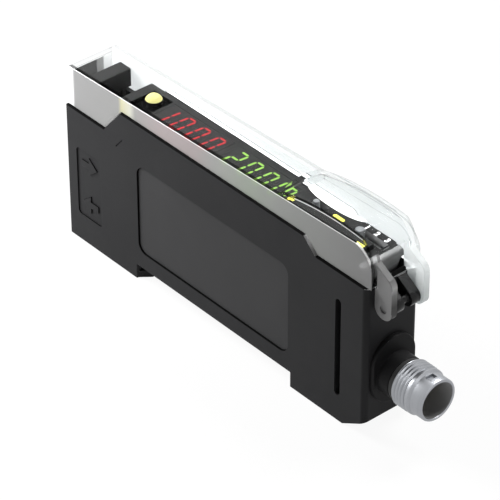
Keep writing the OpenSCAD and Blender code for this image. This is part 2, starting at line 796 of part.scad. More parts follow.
// The rocker: a long crowned key, cored from below, with a clevis for the pin and two pads
module rocker_button() {
    x0 = rocker_x - rocker_l / 2;
    x1 = rocker_x + rocker_l / 2;
    color("#2a2a2c") difference() {
        union() {
            difference() {
                along_y(rocker_y0, rocker_y1)
                    polygon([
                        [x0, yoke_z1 + 0.1], [x1, yoke_z1 + 0.1], [x1, deck_z + rocker_end_proud],
                        [rocker_x, deck_z + rocker_proud], [x0, deck_z + rocker_end_proud]
                    ]);
                box(x0 + rocker_wall, x1 - rocker_wall, rocker_y0 + rocker_wall, rocker_y1 - rocker_wall,
                    yoke_z0, rocker_core_z);
            }
            for (side = [-1, 1]) {
                box(rocker_x + side * tact_reach - pad_l / 2, rocker_x + side * tact_reach + pad_l / 2,
                    rocker_y - pad_w / 2, rocker_y + pad_w / 2, pad_z, rocker_core_z + e);
                cheek = rocker_y + side * (clevis_y0 + clevis_t / 2);
                box(rocker_x - clevis_l / 2, rocker_x + clevis_l / 2,
                    cheek - clevis_t / 2, cheek + clevis_t / 2, yoke_z1 + 0.1, rocker_core_z + e);
            }
        }
        rod_y(rocker_x, pivot_z, rocker_y - clevis_y0 - clevis_t - e, rocker_y + clevis_y0 + clevis_t + e,
            pivot_r + pin_gap);
    }
}

// Three small push switches under the rocker
module tact_switches() {
    color("#b9bcc0") for (x = [-1, 0, 1] * tact_reach)
        translate([rocker_x + x, rocker_y, board_z1]) {
            translate([-tact_l / 2, -tact_w / 2, 0]) cube([tact_l, tact_w, tact_body_h]);
            cylinder(h = tact_h, r = plunger_r);
        }
}

// The body of a slide switch under its slot
module switch_body(x, travel, w) {
    half = w / 2 + switch_overhang / 2;
    box(x - half, x + travel + half, switch_y - switch_w / 2, switch_y + switch_w / 2,
        board_z1, switch_top_z);
}

// A round switch knob with its foot
module switch_knob(x, w) {
    foot_z = switch_top_z + 0.05;
    translate([x, switch_y, foot_z]) {
        cylinder(h = deck_z + knob_proud - foot_z, r = w / 2);
        translate([-w / 2 - 0.25, -switch_w / 2, 0]) cube([w + 0.5, switch_w, knob_foot_t]);
    }
}

module mode_switch_body() {
    color("#3c3d40") switch_body(mode_x, mode_travel, mode_knob_w);
}

module mode_switch_knob() {
    color("#9a9c9e") switch_knob(mode_x, mode_knob_w);
}

module output_switch_body() {
    color("#3c3d40") switch_body(output_x, output_travel, output_knob_w);
}

module output_switch_knob() {
    color("#9a9c9e") switch_knob(output_x, output_knob_w);
}

// The fibre clamp lever: a thumb tab on a fork, with a hub and two clamping lobes
module clamp_lever() {
    lobe = lever_z - port_lo_z - port_r - 0.15;
    color("#29292b") difference() {
        union() {
            along_y(-tab_w / 2, tab_w / 2) {
                round_rect(tab_x0, tab_x1, tab_z0, tab_z0 + tab_h, 0.2);
                rect(tab_x0, tab_x1, tab_z0, tab_z0 + 1);
            }
            for (side = [-1, 1])
                along_y(min(side * fork_y0, side * fork_y1), max(side * fork_y0, side * fork_y1))
                    polygon([
                        [tab_x0 + 0.2, tab_z0 + e], [tab_x1 - 0.2, tab_z0 + e],
                        [lever_x + hub_r - 0.2, lever_z], [lever_x - hub_r + 0.2, lever_z]
                    ]);
            rod_y(lever_x, lever_z, -fork_y1, fork_y1, hub_r);
            box(lever_x - 0.6, lever_x + 0.6, -1.2, 1.2, lever_z - lobe, lever_z + lobe);
        }
        rod_y(lever_x, lever_z, -fork_y1 - e, fork_y1 + e, lever_pin_r + pin_gap);
    }
}

module lever_pin() {
    color("#c4c7ca") rod_y(lever_x, lever_z, -inner_y + seat_gap, inner_y - seat_gap, lever_pin_r);
}

// The fibre block: a nose with two ports, a rail along the floor and a wall for the diodes
module fibre_block() {
    color("#232325") difference() {
        union() {
            box(-fibre_end, nose_x1, -block_w / 2, block_w / 2, block_z0, block_z1);
            box(cavity_x0 + seat_gap, rear_x0 + rear_l, -block_w / 2, block_w / 2, floor_t, block_z0 + 0.8);
            box(rear_x0, rear_x0 + rear_l, -block_w / 2, block_w / 2, floor_t, block_z1);
        }
        for (z = [port_lo_z, port_hi_z]) {
            rod_x(0, z, -fibre_end - e, nose_x1 + e, port_r);
            rod_x(0, z, rear_x0 - e, rear_x0 + rear_l + e, diode_r + seat_gap);
        }
    }
}

// A diode with a domed front and a flange behind the block's wall
module diode(z) {
    translate([rear_x0 + 0.3, 0, z]) rotate([0, 90, 0]) rotate_extrude() {
        rect(0, diode_r, diode_r, rear_l + 0.3);
        rect(0, diode_r + 0.5, rear_l - 0.25, rear_l + 0.45);
        intersection() {
            translate([0, diode_r]) circle(diode_r);
            rect(0, diode_r, 0, diode_r);
        }
    }
}

module emitter_diode() {
    color("#c94f4f") diode(port_hi_z);
}

module receiver_diode() {
    color("#33415c") diode(port_lo_z);
}

module display_board() {
    color("#2f6b45") box(-panel_from + 0.4, panel_x1 - 0.6, -panel_y + 0.3, panel_y - 0.3,
        board_z0, board_z1);
}

module main_board() {
    color("#2f6b45") box(main_board_x0, main_board_x1, main_board_y, main_board_y + board_t,
        main_board_z0, main_board_z1);
}

// The pin header between the two boards
module board_header() {
    mid_y = main_board_y + board_t / 2;
    color("#1c1c1e") box(-header_l / 2, header_l / 2, mid_y - header_w / 2, mid_y + header_w / 2,
        main_board_z1, board_z0);
}

// The connector's collar: an oblong flange with a round neck through the end wall
module connector_collar() {
    color("#1d1d1f") difference() {
        union() {
            along_x(plug_end, plug_end + collar_t)
                translate([0, plug_z + collar_rise]) oblong(collar_w, collar_h);
            rod_x(0, plug_z, cavity_x1, neck_x1, neck_r);
        }
        rod_x(0, plug_z, cavity_x1 - e, neck_x1 + e, shell_bore_r);
    }
}

// The seal ring between neck and shell
module connector_seal() {
    color("#111112") translate([neck_x1, 0, plug_z]) rotate([0, 90, 0]) rotate_extrude()
        round_rect(shell_bore_r, neck_r - 0.05, 0, seal_t, 0.15);
}

// The nickel shell: threaded ring, slimmer barrel and open socket
module connector_shell() {
    color("#b4b8bc") translate([shell_x0, 0, plug_z]) rotate([0, 90, 0]) difference() {
        rotate_extrude() polygon([
            [shell_bore_r, 0], [ring_r - 0.25, 0], [ring_r, 0.25], [ring_r, ring_l - 0.3], [barrel_r, ring_l],
            [barrel_r, ring_l + barrel_l - 0.2], [barrel_r - 0.2, ring_l + barrel_l],
            [shell_bore_r, ring_l + barrel_l]
        ]);
        translate([-barrel_r - 0.1, -0.75, ring_l + 0.35]) cube([0.45, 1.5, 0.9]);
    }
}

// The insulator that carries the contacts
module connector_insert() {
    color("#28282a") difference() {
        rod_x(0, plug_z, insert_x0, insert_x1, shell_bore_r - seat_gap);
        contact_row(insert_x0 - e, insert_x1 + e, contact_r + 0.02);
    }
}

// Rods at the places of the contacts
module contact_row(x0, x1, r) {
    for (i = [0 : contacts - 1]) {
        turn = i * 360 / contacts + 45;
        rod_x(contact_ring_r * cos(turn), plug_z + contact_ring_r * sin(turn), x0, x1, r);
    }
}

module contact_pins() {
    color("#c9a74a") contact_row(insert_x0, insert_x1 + contact_proud, contact_r);
}

// The sprung rail latch: a body on side runners with a sloped nose and a spring spigot
module rail_latch() {
    color("#333335") {
        box(latch_x0, latch_x1, -latch_w / 2, latch_w / 2, latch_z0, latch_z1);
        box(latch_x0, latch_x1, -latch_w / 2 - runner_w, latch_w / 2 + runner_w,
            runner_z0, runner_z0 + runner_t);
        along_y(-latch_w / 2, latch_w / 2) polygon([
            [latch_x0 + e, latch_z0], [latch_x0 - hook_reach + 0.5, latch_z0],
            [latch_x0 - hook_reach, latch_z0 + 0.5], [latch_x0 - hook_reach, -foot_drop + hook_t],
            [latch_x0 + e, -foot_drop + hook_t]
        ]);
        rod_x(0, spring_z, latch_x1 - e, latch_x1 + 1, spring_r - spring_wire_r - 0.15);
    }
}

// A coil of round wire along X
module latch_spring() {
    sides = 8;
    steps = 14;
    rings = spring_turns * steps;
    x0 = latch_x1 + spring_wire_r + 0.02;
    pitch = (spring_l - 2 * spring_wire_r - 0.04) / rings;
    points = [
        for (i = [0 : rings], s = [0 : sides - 1])
            let (a = 360 * i / steps, b = 360 * s / sides, r = spring_r + spring_wire_r * cos(b))
            [x0 + i * pitch + spring_wire_r * sin(b), r * cos(a), spring_z + r * sin(a)]
    ];
    walls = [
        for (i = [0 : rings - 1], s = [0 : sides - 1])
            let (t = (s + 1) % sides)
            [i * sides + s, i * sides + t, (i + 1) * sides + t, (i + 1) * sides + s]
    ];
    first = [for (s = [sides - 1 : -1 : 0]) s];
    last = [for (s = [0 : sides - 1]) rings * sides + s];
    color("#a9adb1") polyhedron(points, concat(walls, [first, last]), convexity = 10);
}

housing_case();
side_cover();
side_label();
dust_cover();
top_panel();
red_display();
green_display();
output_lamp();
rocker_yoke();
rocker_button();
tact_switches();
mode_switch_body();
mode_switch_knob();
output_switch_body();
output_switch_knob();
clamp_lever();
lever_pin();
fibre_block();
emitter_diode();
receiver_diode();
display_board();
main_board();
board_header();
connector_collar();
connector_seal();
connector_shell();
connector_insert();
contact_pins();
rail_latch();
latch_spring();
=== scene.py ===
"""Looks of a slim fibre optic sensor amplifier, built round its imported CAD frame.

The frame gives every place and size. Sizes in the classes are millimetres, and MM turns them into metres.
"""

from __future__ import annotations

import json
import logging
import math
from dataclasses import dataclass, field
from enum import Enum
from functools import cached_property
from typing import Any, Sequence

import bpy
from mathutils import Matrix, Vector

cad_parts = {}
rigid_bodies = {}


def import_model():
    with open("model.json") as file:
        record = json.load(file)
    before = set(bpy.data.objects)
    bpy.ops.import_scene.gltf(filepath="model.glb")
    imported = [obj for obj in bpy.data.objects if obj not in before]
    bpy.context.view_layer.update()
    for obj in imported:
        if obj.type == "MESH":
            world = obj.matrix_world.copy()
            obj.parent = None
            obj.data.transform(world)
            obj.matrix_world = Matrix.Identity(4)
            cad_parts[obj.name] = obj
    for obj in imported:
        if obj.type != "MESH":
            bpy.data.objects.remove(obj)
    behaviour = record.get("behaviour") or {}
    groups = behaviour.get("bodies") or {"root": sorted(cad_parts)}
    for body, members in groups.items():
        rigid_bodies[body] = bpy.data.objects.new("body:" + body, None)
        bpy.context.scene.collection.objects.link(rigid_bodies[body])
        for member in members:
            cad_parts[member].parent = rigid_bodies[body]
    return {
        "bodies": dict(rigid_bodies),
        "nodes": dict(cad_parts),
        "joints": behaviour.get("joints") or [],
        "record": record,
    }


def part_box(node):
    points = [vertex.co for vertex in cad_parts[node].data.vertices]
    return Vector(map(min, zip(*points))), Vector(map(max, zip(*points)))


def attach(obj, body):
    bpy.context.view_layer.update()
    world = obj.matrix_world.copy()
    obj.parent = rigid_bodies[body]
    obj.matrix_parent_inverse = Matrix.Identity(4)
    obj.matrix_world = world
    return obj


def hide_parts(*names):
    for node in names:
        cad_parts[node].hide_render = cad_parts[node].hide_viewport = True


LOG = logging.getLogger("amplifier")
MM = 0.001

# Points that lie closer than a weld become one, and faces that meet flatter than the angle become one.
COPY_WELD = 0.0005 * MM
SPIN_WELD = 0.001 * MM
FLAT_ANGLE = math.radians(1.0)

# Half the thickness of a printed sign, and how far its strokes are made bolder, in millimetres.
SIGN_DEPTH = 0.015
SIGN_WEIGHT = 0.05

# Sockets of a colour mix: the factor and the two colours, and the mixed colour.
MIX_INPUTS = (0, 6, 7)
MIX_OUTPUT = 2

Tree = bpy.types.NodeTree
Socket = bpy.types.NodeSocket
Node = bpy.types.Node
Piece = bpy.types.Object
Face = bpy.types.MeshPolygon
Material = bpy.types.Material
Colour = tuple[float, float, float]
Tone = float | Colour
Point2 = tuple[float, float]
Point3 = tuple[float, float, float]


class Body(Enum):
    """Bodies of the CAD frame that pieces ride on."""

    HOUSING = "housing"
    COVER = "cover"
    LEVER = "lever"
    ROCKER = "rocker"
    MODE_KNOB = "mode_knob"
    OUTPUT_KNOB = "output_knob"
    LATCH = "latch"


# Shader tools


def rgba(tone: Tone) -> tuple[float, float, float, float]:
    """A tone as an opaque colour; a single number is a grey."""
    red, green, blue = tone if isinstance(tone, tuple) else (tone, tone, tone)
    return (red, green, blue, 1.0)


def shade(tone: Tone, factor: float) -> Colour:
    """A tone made darker or lighter by a factor."""
    red, green, blue, _ = rgba(tone)
    return (red * factor, green * factor, blue * factor)


def connect(tree: Tree, value: Any, socket: Socket) -> None:
    """Links an output socket to an input, or sets the input to a plain value.

    Args:
        tree: Node tree of the input.
        value: Output socket or plain value.
        socket: The input.
    """
    if isinstance(value, Socket):
        tree.links.new(value, socket)
    else:
        socket.default_value = value


def fill(tree: Tree, node: Node, *values: Any, **labelled: Any) -> None:
    """Fills inputs of a node with values or output sockets.

    Args:
        tree: Node tree of the node.
        node: The node.
        values: What its first inputs take, in order.
        labelled: What inputs take by name, with an underscore for each space.
    """
    for socket, value in zip(node.inputs, values):
        connect(tree, value, socket)
    for label, value in labelled.items():
        connect(tree, value, node.inputs[label.replace("_", " ")])


def add_node(tree: Tree, kind: str, *values: Any, **labelled: Any) -> Node:
    """Adds a shader node and fills its inputs.

    Args:
        tree: Node tree that takes it.
        kind: Its type, without the word that all shader nodes share.
        values: What its first inputs take, in order.
        labelled: What inputs take by name.

    Returns:
        The node.
    """
    node = tree.nodes.new(f"ShaderNode{kind}")
    fill(tree, node, *values, **labelled)
    return node


def object_space(tree: Tree) -> Any:
    """Output socket of the object's own coordinates."""
    return add_node(tree, "TexCoord").outputs["Object"]


def span(tree: Tree, value: Any, low: float, high: float) -> Any:
    """Output socket of a 0 to 1 value that is mapped to a range."""
    return add_node(tree, "MapRange", Value=value, To_Min=low, To_Max=high).outputs["Result"]


def combine(tree: Tree, operation: str, first: Any, second: Any) -> Any:
    """Works out one value from two.

    Args:
        tree: Node tree that takes the operation.
        operation: Name of the operation.
        first: First value or output socket.
        second: Second value or output socket.

    Returns:
        The result's output socket.
    """
    node = add_node(tree, "Math", first, second)
    node.operation = operation
    return node.outputs[0]


def mix_colours(tree: Tree, factor: Any, low: Any, high: Any) -> Any:
    """Mixes two colours.

    Args:
        tree: Node tree that takes the mix.
        factor: Output socket that gives the share of the second colour.
        low: First colour, as four numbers or an output socket.
        high: Second colour.

    Returns:
        The colour's output socket.
    """
    mix = add_node(tree, "Mix")
    mix.data_type = "RGBA"
    for place, value in zip(MIX_INPUTS, (factor, low, high)):
        connect(tree, value, mix.inputs[place])
    return mix.outputs[MIX_OUTPUT]


class EffectGroups:
    """Shader node groups that several finishes share, each built when it is first asked for."""

    @staticmethod
    def _open(name: str, inputs: Sequence[str], outputs: Sequence[str]) -> tuple[Any, Any, Any]:
        """Makes an empty group with its number sockets.

        Args:
            name: Name of the group.
            inputs: Names of its inputs.
            outputs: Names of its outputs.

        Returns:
            The group, its input node and its output node.
        """
        group = bpy.data.node_groups.new(name, "ShaderNodeTree")
        for way, labels in (("INPUT", inputs), ("OUTPUT", outputs)):
            for label in labels:
                group.interface.new_socket(label, in_out=way, socket_type="NodeSocketFloat")
        return group, group.nodes.new("NodeGroupInput"), group.nodes.new("NodeGroupOutput")

    @cached_property
    def grain(self) -> Tree:
        """Fine spark-eroded mould grain: a height for bumps and a slow tint.

        Returns:
            The group, with inputs Scale and Drift and outputs Height and Tint.
        """
        group, enter, leave = self._open("mould_grain", ("Scale", "Drift"), ("Height", "Tint"))
        place = object_space(group)
        for result, label, detail in (("Height", "Scale", 3.0), ("Tint", "Drift", 2.0)):
            noise = add_node(group, "TexNoise", Vector=place, Scale=enter.outputs[label], Detail=detail)
            fill(group, leave, **{result: noise.outputs["Fac"]})
        return group

    @cached_property
    def handling(self) -> Tree:
        """Faint smears that handling leaves on smooth faces.

        Returns:
            The group, with input Scale and output Smear.
        """
        group, enter, leave = self._open("handling", ("Scale",), ("Smear",))
        noise = add_node(
            group, "TexNoise", Vector=object_space(group), Scale=enter.outputs["Scale"], Detail=4.0, Distortion=0.8)
        curve = add_node(group, "MapRange", Value=noise.outputs["Fac"], From_Min=0.35, From_Max=0.75)
        fill(group, leave, Smear=curve.outputs["Result"])
        return group

    @cached_property
    def turned(self) -> Tree:
        """Fine rings that turning leaves round a part that lies along X.

        Returns:
            The group, with input Scale and output Rings.
        """
        group, enter, leave = self._open("turned_rings", ("Scale",), ("Rings",))
        stretch = add_node(group, "Mapping", Vector=object_space(group), Scale=(1.0, 0.04, 0.04))
        noise = add_node(
            group, "TexNoise", Vector=stretch.outputs["Vector"], Scale=enter.outputs["Scale"], Detail=3.0)
        fill(group, leave, Rings=noise.outputs["Fac"])
        return group


EFFECTS = EffectGroups()


@dataclass
class Blank:
    """A new material of a given name, with its shader and the tools to wire it."""

    name: str
    material: Material = field(init=False)
    tree: Tree = field(init=False)
    shader: Node = field(init=False)

    BUMP_DEPTH = 0.02 * MM

    def __post_init__(self) -> None:
        """Makes the material and keeps its Principled shader at hand."""
        self.material = bpy.data.materials.new(self.name)
        self.material.use_nodes = True
        self.tree = self.material.node_tree
        self.shader = self.tree.nodes["Principled BSDF"]

    def set(self, **values: Any) -> None:
        """Sets or links sockets of the shader, named with an underscore for each space."""
        fill(self.tree, self.shader, **values)

    def place(self, group: Tree, **values: float) -> Any:
        """Places an effect group.

        Args:
            group: The group to place.
            values: Its inputs.

        Returns:
            Its outputs.
        """
        node = add_node(self.tree, "Group")
        node.node_tree = group
        fill(self.tree, node, **values)
        return node.outputs

    def drift(self, factor: Any, low: Tone, high: Tone) -> Any:
        """Output socket of a colour that drifts between two tones by a factor's socket."""
        return mix_colours(self.tree, factor, rgba(low), rgba(high))

    def bump(self, height: Any, strength: float) -> None:
        """Feeds a bump of a strength from a height's output socket."""
        node = add_node(self.tree, "Bump", Strength=strength, Distance=self.BUMP_DEPTH, Height=height)
        self.set(Normal=node.outputs["Normal"])

    def blend(self, factor: Any, other: Node) -> None:
        """Lets another shader take over by a factor's output socket."""
        mixed = add_node(self.tree, "MixShader", factor, self.shader.outputs[0], other.outputs[0])
        fill(self.tree, self.tree.nodes["Material Output"], Surface=mixed.outputs[0])


@dataclass(frozen=True)
class MouldedPlastic:
    """A moulded plastic with mould grain and faint handling marks.

    Tone and roughness are middle values; drift is the share by which the tone drifts.
    """

    name: str
    tone: Tone
    roughness: float = 0.5
    grain: float = 0.25
    grain_scale: float = 4500.0
    drift: float = 0.12
    sheen: float = 0.5

    SMEAR_SPAN = (0.05, 0.06)

    def make(self) -> Material:
        """Builds the material.

        Returns:
            The material.
        """
        blank = Blank(self.name)
        grain = blank.place(EFFECTS.grain, Scale=self.grain_scale, Drift=70.0)
        smear = blank.place(EFFECTS.handling, Scale=110.0)["Smear"]
        less, more = self.SMEAR_SPAN
        dark, light = shade(self.tone, 1 - self.drift), shade(self.tone, 1 + self.drift)
        blank.set(
            Specular_IOR_Level=self.sheen, Base_Color=blank.drift(grain["Tint"], dark, light),
            Roughness=span(blank.tree, smear, self.roughness - less, self.roughness + more),
        )
        blank.bump(grain["Height"], self.grain)
        return blank.material


@dataclass(frozen=True)
class ClearPlastic:
    """Clear moulded plastic whose tone may change along one axis; light passes it to what lies under it.

    A stop is a place along the axis in millimetres with its tone. Shadow is the share of the light that its shadow
    takes away. Bend, the index of refraction, is low because the thin walls hardly shift what lies under them.
    Outline is the share of painted shade that darkens faces seen at a slant.
    """

    name: str
    stops: tuple[tuple[float, Tone], ...]
    transmission: float
    roughness: float
    shadow: float
    axis: str = "X"
    bend: float = 1.04
    coat: float = 0.2
    outline: float = 0.0

    SMEAR = 0.03
    # Tone of the painted shade on faces seen at a slant.
    SLANT_TONE = (0.2, 0.21, 0.21)

    def tone(self, tree: Tree) -> Any:
        """Adds the tone along the axis.

        Args:
            tree: Node tree that takes it.

        Returns:
            The colour's output socket.
        """
        start, end = self.stops[0][0], self.stops[-1][0]
        place = add_node(tree, "SeparateXYZ", object_space(tree)).outputs[self.axis]
        run = add_node(tree, "MapRange", Value=place, From_Min=start * MM, From_Max=end * MM)
        ramp = add_node(tree, "ValToRGB", run.outputs["Result"])
        elements = ramp.color_ramp.elements
        for stop, _ in self.stops[1:-1]:
            elements.new((stop - start) / (end - start))
        for element, (_, tone) in zip(elements, self.stops):
            element.color = rgba(tone)
        return ramp.outputs["Color"]

    def outlined(self, tree: Tree) -> Any:
        """Adds the tone, with painted shade where the face is seen at a slant.

        Args:
            tree: Node tree that takes it.

        Returns:
            The colour's output socket.
        """
        slant = add_node(tree, "LayerWeight", Blend=0.2)
        share = combine(tree, "MULTIPLY", slant.outputs["Facing"], self.outline)
        return mix_colours(tree, share, self.tone(tree), rgba(self.SLANT_TONE))

    def make(self) -> Material:
        """Builds the material.

        Returns:
            The material.
        """
        blank = Blank(self.name)
        smear = blank.place(EFFECTS.handling, Scale=140.0)["Smear"]
        blank.set(
            IOR=self.bend, Transmission_Weight=self.transmission, Base_Color=self.outlined(blank.tree),
            Coat_Weight=self.coat, Coat_Roughness=0.02,
            Roughness=span(blank.tree, smear, self.roughness, self.roughness + self.SMEAR),
        )
        lit = add_node(blank.tree, "BsdfTransparent", Color=rgba(1 - self.shadow))
        blank.blend(add_node(blank.tree, "LightPath").outputs["Is Shadow Ray"], lit)
        return blank.material


@dataclass(frozen=True)
class PlatedMetal:
    """Plated or drawn metal with turning rings."""

    name: str
    colour: Colour
    roughness: float

    RING_STRENGTH = 0.15
    RING_SPAN = (0.86, 1.1)
    SMEAR = 0.12

    def make(self) -> Material:
        """Builds the material.

        Returns:
            The material.
        """
        blank = Blank(self.name)
        rings = blank.place(EFFECTS.turned, Scale=2600.0)["Rings"]
        smear = blank.place(EFFECTS.handling, Scale=200.0)["Smear"]
        dark, light = (shade(self.colour, factor) for factor in self.RING_SPAN)
        blank.set(
            Metallic=1.0, Base_Color=blank.drift(rings, dark, light),
            Roughness=span(blank.tree, smear, self.roughness, self.roughness + self.SMEAR),
        )
        blank.bump(rings, self.RING_STRENGTH)
        return blank.material


@dataclass(frozen=True)
class Glow:
    """A lit surface, a display segment or a lamp lens, with the colour and strength of its light."""

    name: str
    colour: Colour
    strength: float
    roughness: float = 0.3

    UNLIT_SPAN = (0.18, 0.25)
    LIT_SPAN = (0.88, 1.0)

    def make(self) -> Material:
        """Builds the material.

        Returns:
            The material.
        """
        blank = Blank(self.name)
        tint = blank.place(EFFECTS.grain, Scale=2500.0, Drift=900.0)["Tint"]
        blank.set(Emission_Strength=self.strength, Roughness=self.roughness, Specular_IOR_Level=0.1)
        for label, factors in (("Base_Color", self.UNLIT_SPAN), ("Emission_Color", self.LIT_SPAN)):
            blank.set(**{label: blank.drift(tint, *(shade(self.colour, factor) for factor in factors))})
        return blank.material


@dataclass(frozen=True)
class BoardMask:
    """Solder mask on a circuit board, with its colour beside and over the copper tracks."""

    name: str
    colour: Colour
    track: Colour

    OTHER_CELL = 0.85

    def make(self) -> Material:
        """Builds the material.

        Returns:
            The material.
        """
        blank = Blank(self.name)
        cells = add_node(
            blank.tree, "TexBrick", Vector=object_space(blank.tree), Color1=rgba(self.colour),
            Color2=rgba(shade(self.colour, self.OTHER_CELL)), Mortar=rgba(self.track), Scale=260.0, Mortar_Size=0.06,
        )
        blank.set(Roughness=0.35, Base_Color=cells.outputs["Color"])
        return blank.material


CLEAR_FRONT = (0.99, 1.0, 1.0)
CLEAR_BACK = (0.98, 0.99, 0.99)
# Grey painted shade for the band along the roof's back edge.
BACK_EDGE_PAINTED_SHADE = (0.7, 0.71, 0.71)


@dataclass
class Finishes:
    """Every finish of the amplifier, made once."""

    case: Any = MouldedPlastic("case_black", (0.02, 0.02, 0.021), 0.45, 0.2, sheen=0.06)
    # Painted shade: near black on up-facing ledges, recess walls and the lamp pocket, where shade falls.
    ledge: Any = MouldedPlastic("ledge_black", 0.003, 0.7, 0.2, sheen=0.02)
    label: Any = MouldedPlastic("label_film", (0.029, 0.029, 0.03), 0.4, 0.08, 2500.0, sheen=0.1)
    panel: Any = MouldedPlastic("panel_black", 0.0145, 0.45, 0.1, sheen=0.09)
    gloss: Any = MouldedPlastic("gloss_black", (0.006, 0.006, 0.0065), 0.25, 0.1, sheen=0.22)
    collar: Any = MouldedPlastic("collar_black", (0.01, 0.01, 0.0105), 0.5, 0.1, sheen=0.08)
    # Painted light: light grey that lifts the shade in the switch slots and on the switch bodies, and a painted
    # highlight on the case's slope.
    pit: Any = MouldedPlastic("slot_grey", 0.2, 0.6, 0.1)
    roll: Any = MouldedPlastic("roll_black", 0.015, 0.3, 0.02, drift=0.05, sheen=0.8)
    knob: Any = MouldedPlastic("switch_grey", (0.14, 0.145, 0.15), 0.45, 0.2)
    rubber: Any = MouldedPlastic("seal_rubber", 0.012, 0.75, 0.4)
    clear: Any = ClearPlastic(
        "clear_cover", ((-34, CLEAR_FRONT), (34, CLEAR_BACK)), 1.0, 0.01, 0.03, coat=0.0, outline=0.5)
    # Painted shade: a dark strip over the front wall and a grey band along the back edge of the roof.
    roof: Any = ClearPlastic(
        "clear_roof", (
            (-4.7, 0.05), (-4.0, 0.06), (-3.85, CLEAR_FRONT), (3.85, CLEAR_BACK), (3.95, BACK_EDGE_PAINTED_SHADE),
            (4.7, BACK_EDGE_PAINTED_SHADE),
        ), 1.0, 0.01, 0.03, "Y", coat=0.0, outline=0.5)
    # Painted light: a painted highlight at the left end, painted reflections of the lamp and the red and green
    # digits, and painted shade that darkens towards the connector's end.
    satin: Any = ClearPlastic(
        "satin_wall", (
            (-34.4, 0.9), (-32.6, 0.86), (-32.2, 0.31), (-21.5, (0.33, 0.33, 0.325)), (-20.8, (0.6, 0.58, 0.38)),
            (-18.8, (0.64, 0.64, 0.55)), (-17.6, (0.36, 0.355, 0.35)), (-12, (0.41, 0.36, 0.36)),
            (-4, (0.4, 0.355, 0.355)), (0, (0.37, 0.37, 0.36)), (8, (0.34, 0.375, 0.325)),
            (14, (0.33, 0.34, 0.325)), (34, 0.26),
        ), 0.25, 0.2, 0.3)
    milky: Any = ClearPlastic(
        "milky_wall", ((-34, (0.9, 0.92, 0.925)), (34, (0.84, 0.87, 0.875))), 0.85, 0.1, 0.05, coat=0.05)
    # Painted highlight: bright broken edges, lightest at the front and darker towards the back.
    rim: Any = ClearPlastic(
        "bright_rim", ((-4.7, 0.95), (0, 0.9), (1, (0.4, 0.41, 0.41)), (4.7, (0.26, 0.27, 0.27))),
        0.3, 0.15, 0.1, "Y")
    # Painted shade: dark across the middle of the left end wall, light towards the back, with a painted highlight at
    # its front edge.
    end_wall: Any = ClearPlastic(
        "end_wall", (
            (-4.7, 0.9), (-4.0, 0.05), (0.9, 0.06), (1.05, 0.26), (2.2, 0.3), (2.4, (0.95, 0.96, 0.96)),
            (4.7, (0.97, 0.98, 0.98)),
        ), 0.3, 0.1, 0.05, "Y")
    # Painted shade: the back ear darker towards the bottom.
    back_ear: Any = ClearPlastic(
        "back_ear", ((14, (0.45, 0.47, 0.47)), (20, (0.66, 0.69, 0.69)), (29, (0.9, 0.92, 0.92))),
        0.5, 0.15, 0.1, "Z")
    frosted: Any = ClearPlastic("frosted_foot", ((-34, 1.0), (34, 0.98)), 0.05, 0.3, 0.1)
    # Painted shade on the front ear's edge faces, with a painted highlight band at middle height.
    shaded: Any = ClearPlastic(
        "shaded_edge", ((17, 0.08), (22, 0.1), (24, 0.26), (25.2, 0.6), (26.4, 0.2), (30, 0.07)),
        0.3, 0.2, 0.2, "Z")
    bore: Any = MouldedPlastic("bore_grey", 0.26, 0.65, 0.2, sheen=0.1)
    nickel: Any = PlatedMetal("nickel_plate", (0.33, 0.34, 0.36), 0.33)
    steel: Any = PlatedMetal("drawn_steel", (0.5, 0.5, 0.51), 0.32)
    gold: Any = PlatedMetal("contact_gold", (0.85, 0.62, 0.25), 0.22)
    red: Any = Glow("red_segment", (0.78, 0.045, 0.055), 0.3)
    green: Any = Glow("green_segment", (0.42, 0.8, 0.14), 0.42)
    lamp: Any = Glow("lamp_lens", (0.97, 0.9, 0.36), 0.6, 0.15)
    white_ink: Any = MouldedPlastic("white_ink", 0.85, 0.5, 0.1)
    yellow_ink: Any = MouldedPlastic("yellow_ink", (0.75, 0.72, 0.08), 0.5, 0.1)
    emitter: Any = MouldedPlastic("emitter_lens", (0.45, 0.05, 0.05), 0.2, 0.05)
    receiver: Any = MouldedPlastic("receiver_lens", (0.03, 0.04, 0.08), 0.2, 0.05)
    board: Any = BoardMask("solder_mask", (0.02, 0.12, 0.05), (0.04, 0.2, 0.09))

    def __post_init__(self) -> None:
        """Builds each finish as a material in the place of its recipe."""
        for name, recipe in vars(self).items():
            setattr(self, name, recipe.make())


# Modelling tools


def deselect() -> None:
    """Leaves edit mode and clears the selection."""
    if bpy.context.object and bpy.context.object.mode != "OBJECT":
        bpy.ops.object.mode_set(mode="OBJECT")
    bpy.ops.object.select_all(action="DESELECT")


def pick(obj: Piece) -> None:
    """Makes one object the only selected and the active one.

    Args:
        obj: The object.
    """
    deselect()
    obj.select_set(True)
    bpy.context.view_layer.objects.active = obj


def named(name: str) -> Piece:
    """Names the object that an operator has just made.

    Args:
        name: Name of the object and its mesh.

    Returns:
        The object.
    """
    obj = bpy.context.active_object
    obj.name = name
    obj.data.name = name
    return obj


def apply_modifier(obj: Piece, kind: str, **settings: Any) -> None:
    """Adds a modifier and applies it.

    Args:
        obj: Object that takes it.
        kind: Type of the modifier.
        settings: Its settings.
    """
    pick(obj)
    modifier = obj.modifiers.new(kind.lower(), kind)
    for label, value in settings.items():
        setattr(modifier, label, value)
    bpy.ops.object.modifier_apply(modifier=modifier.name)


def smooth(obj: Piece, angle: float = 32.0) -> None:
    """Shades an object smooth, with sharp edges past an angle in degrees."""
    pick(obj)
    bpy.ops.object.shade_smooth_by_angle(angle=math.radians(angle))


def set_material(obj: Piece, material: Material) -> None:
    """Gives an object one material."""
    obj.data.materials.clear()
    obj.data.materials.append(material)


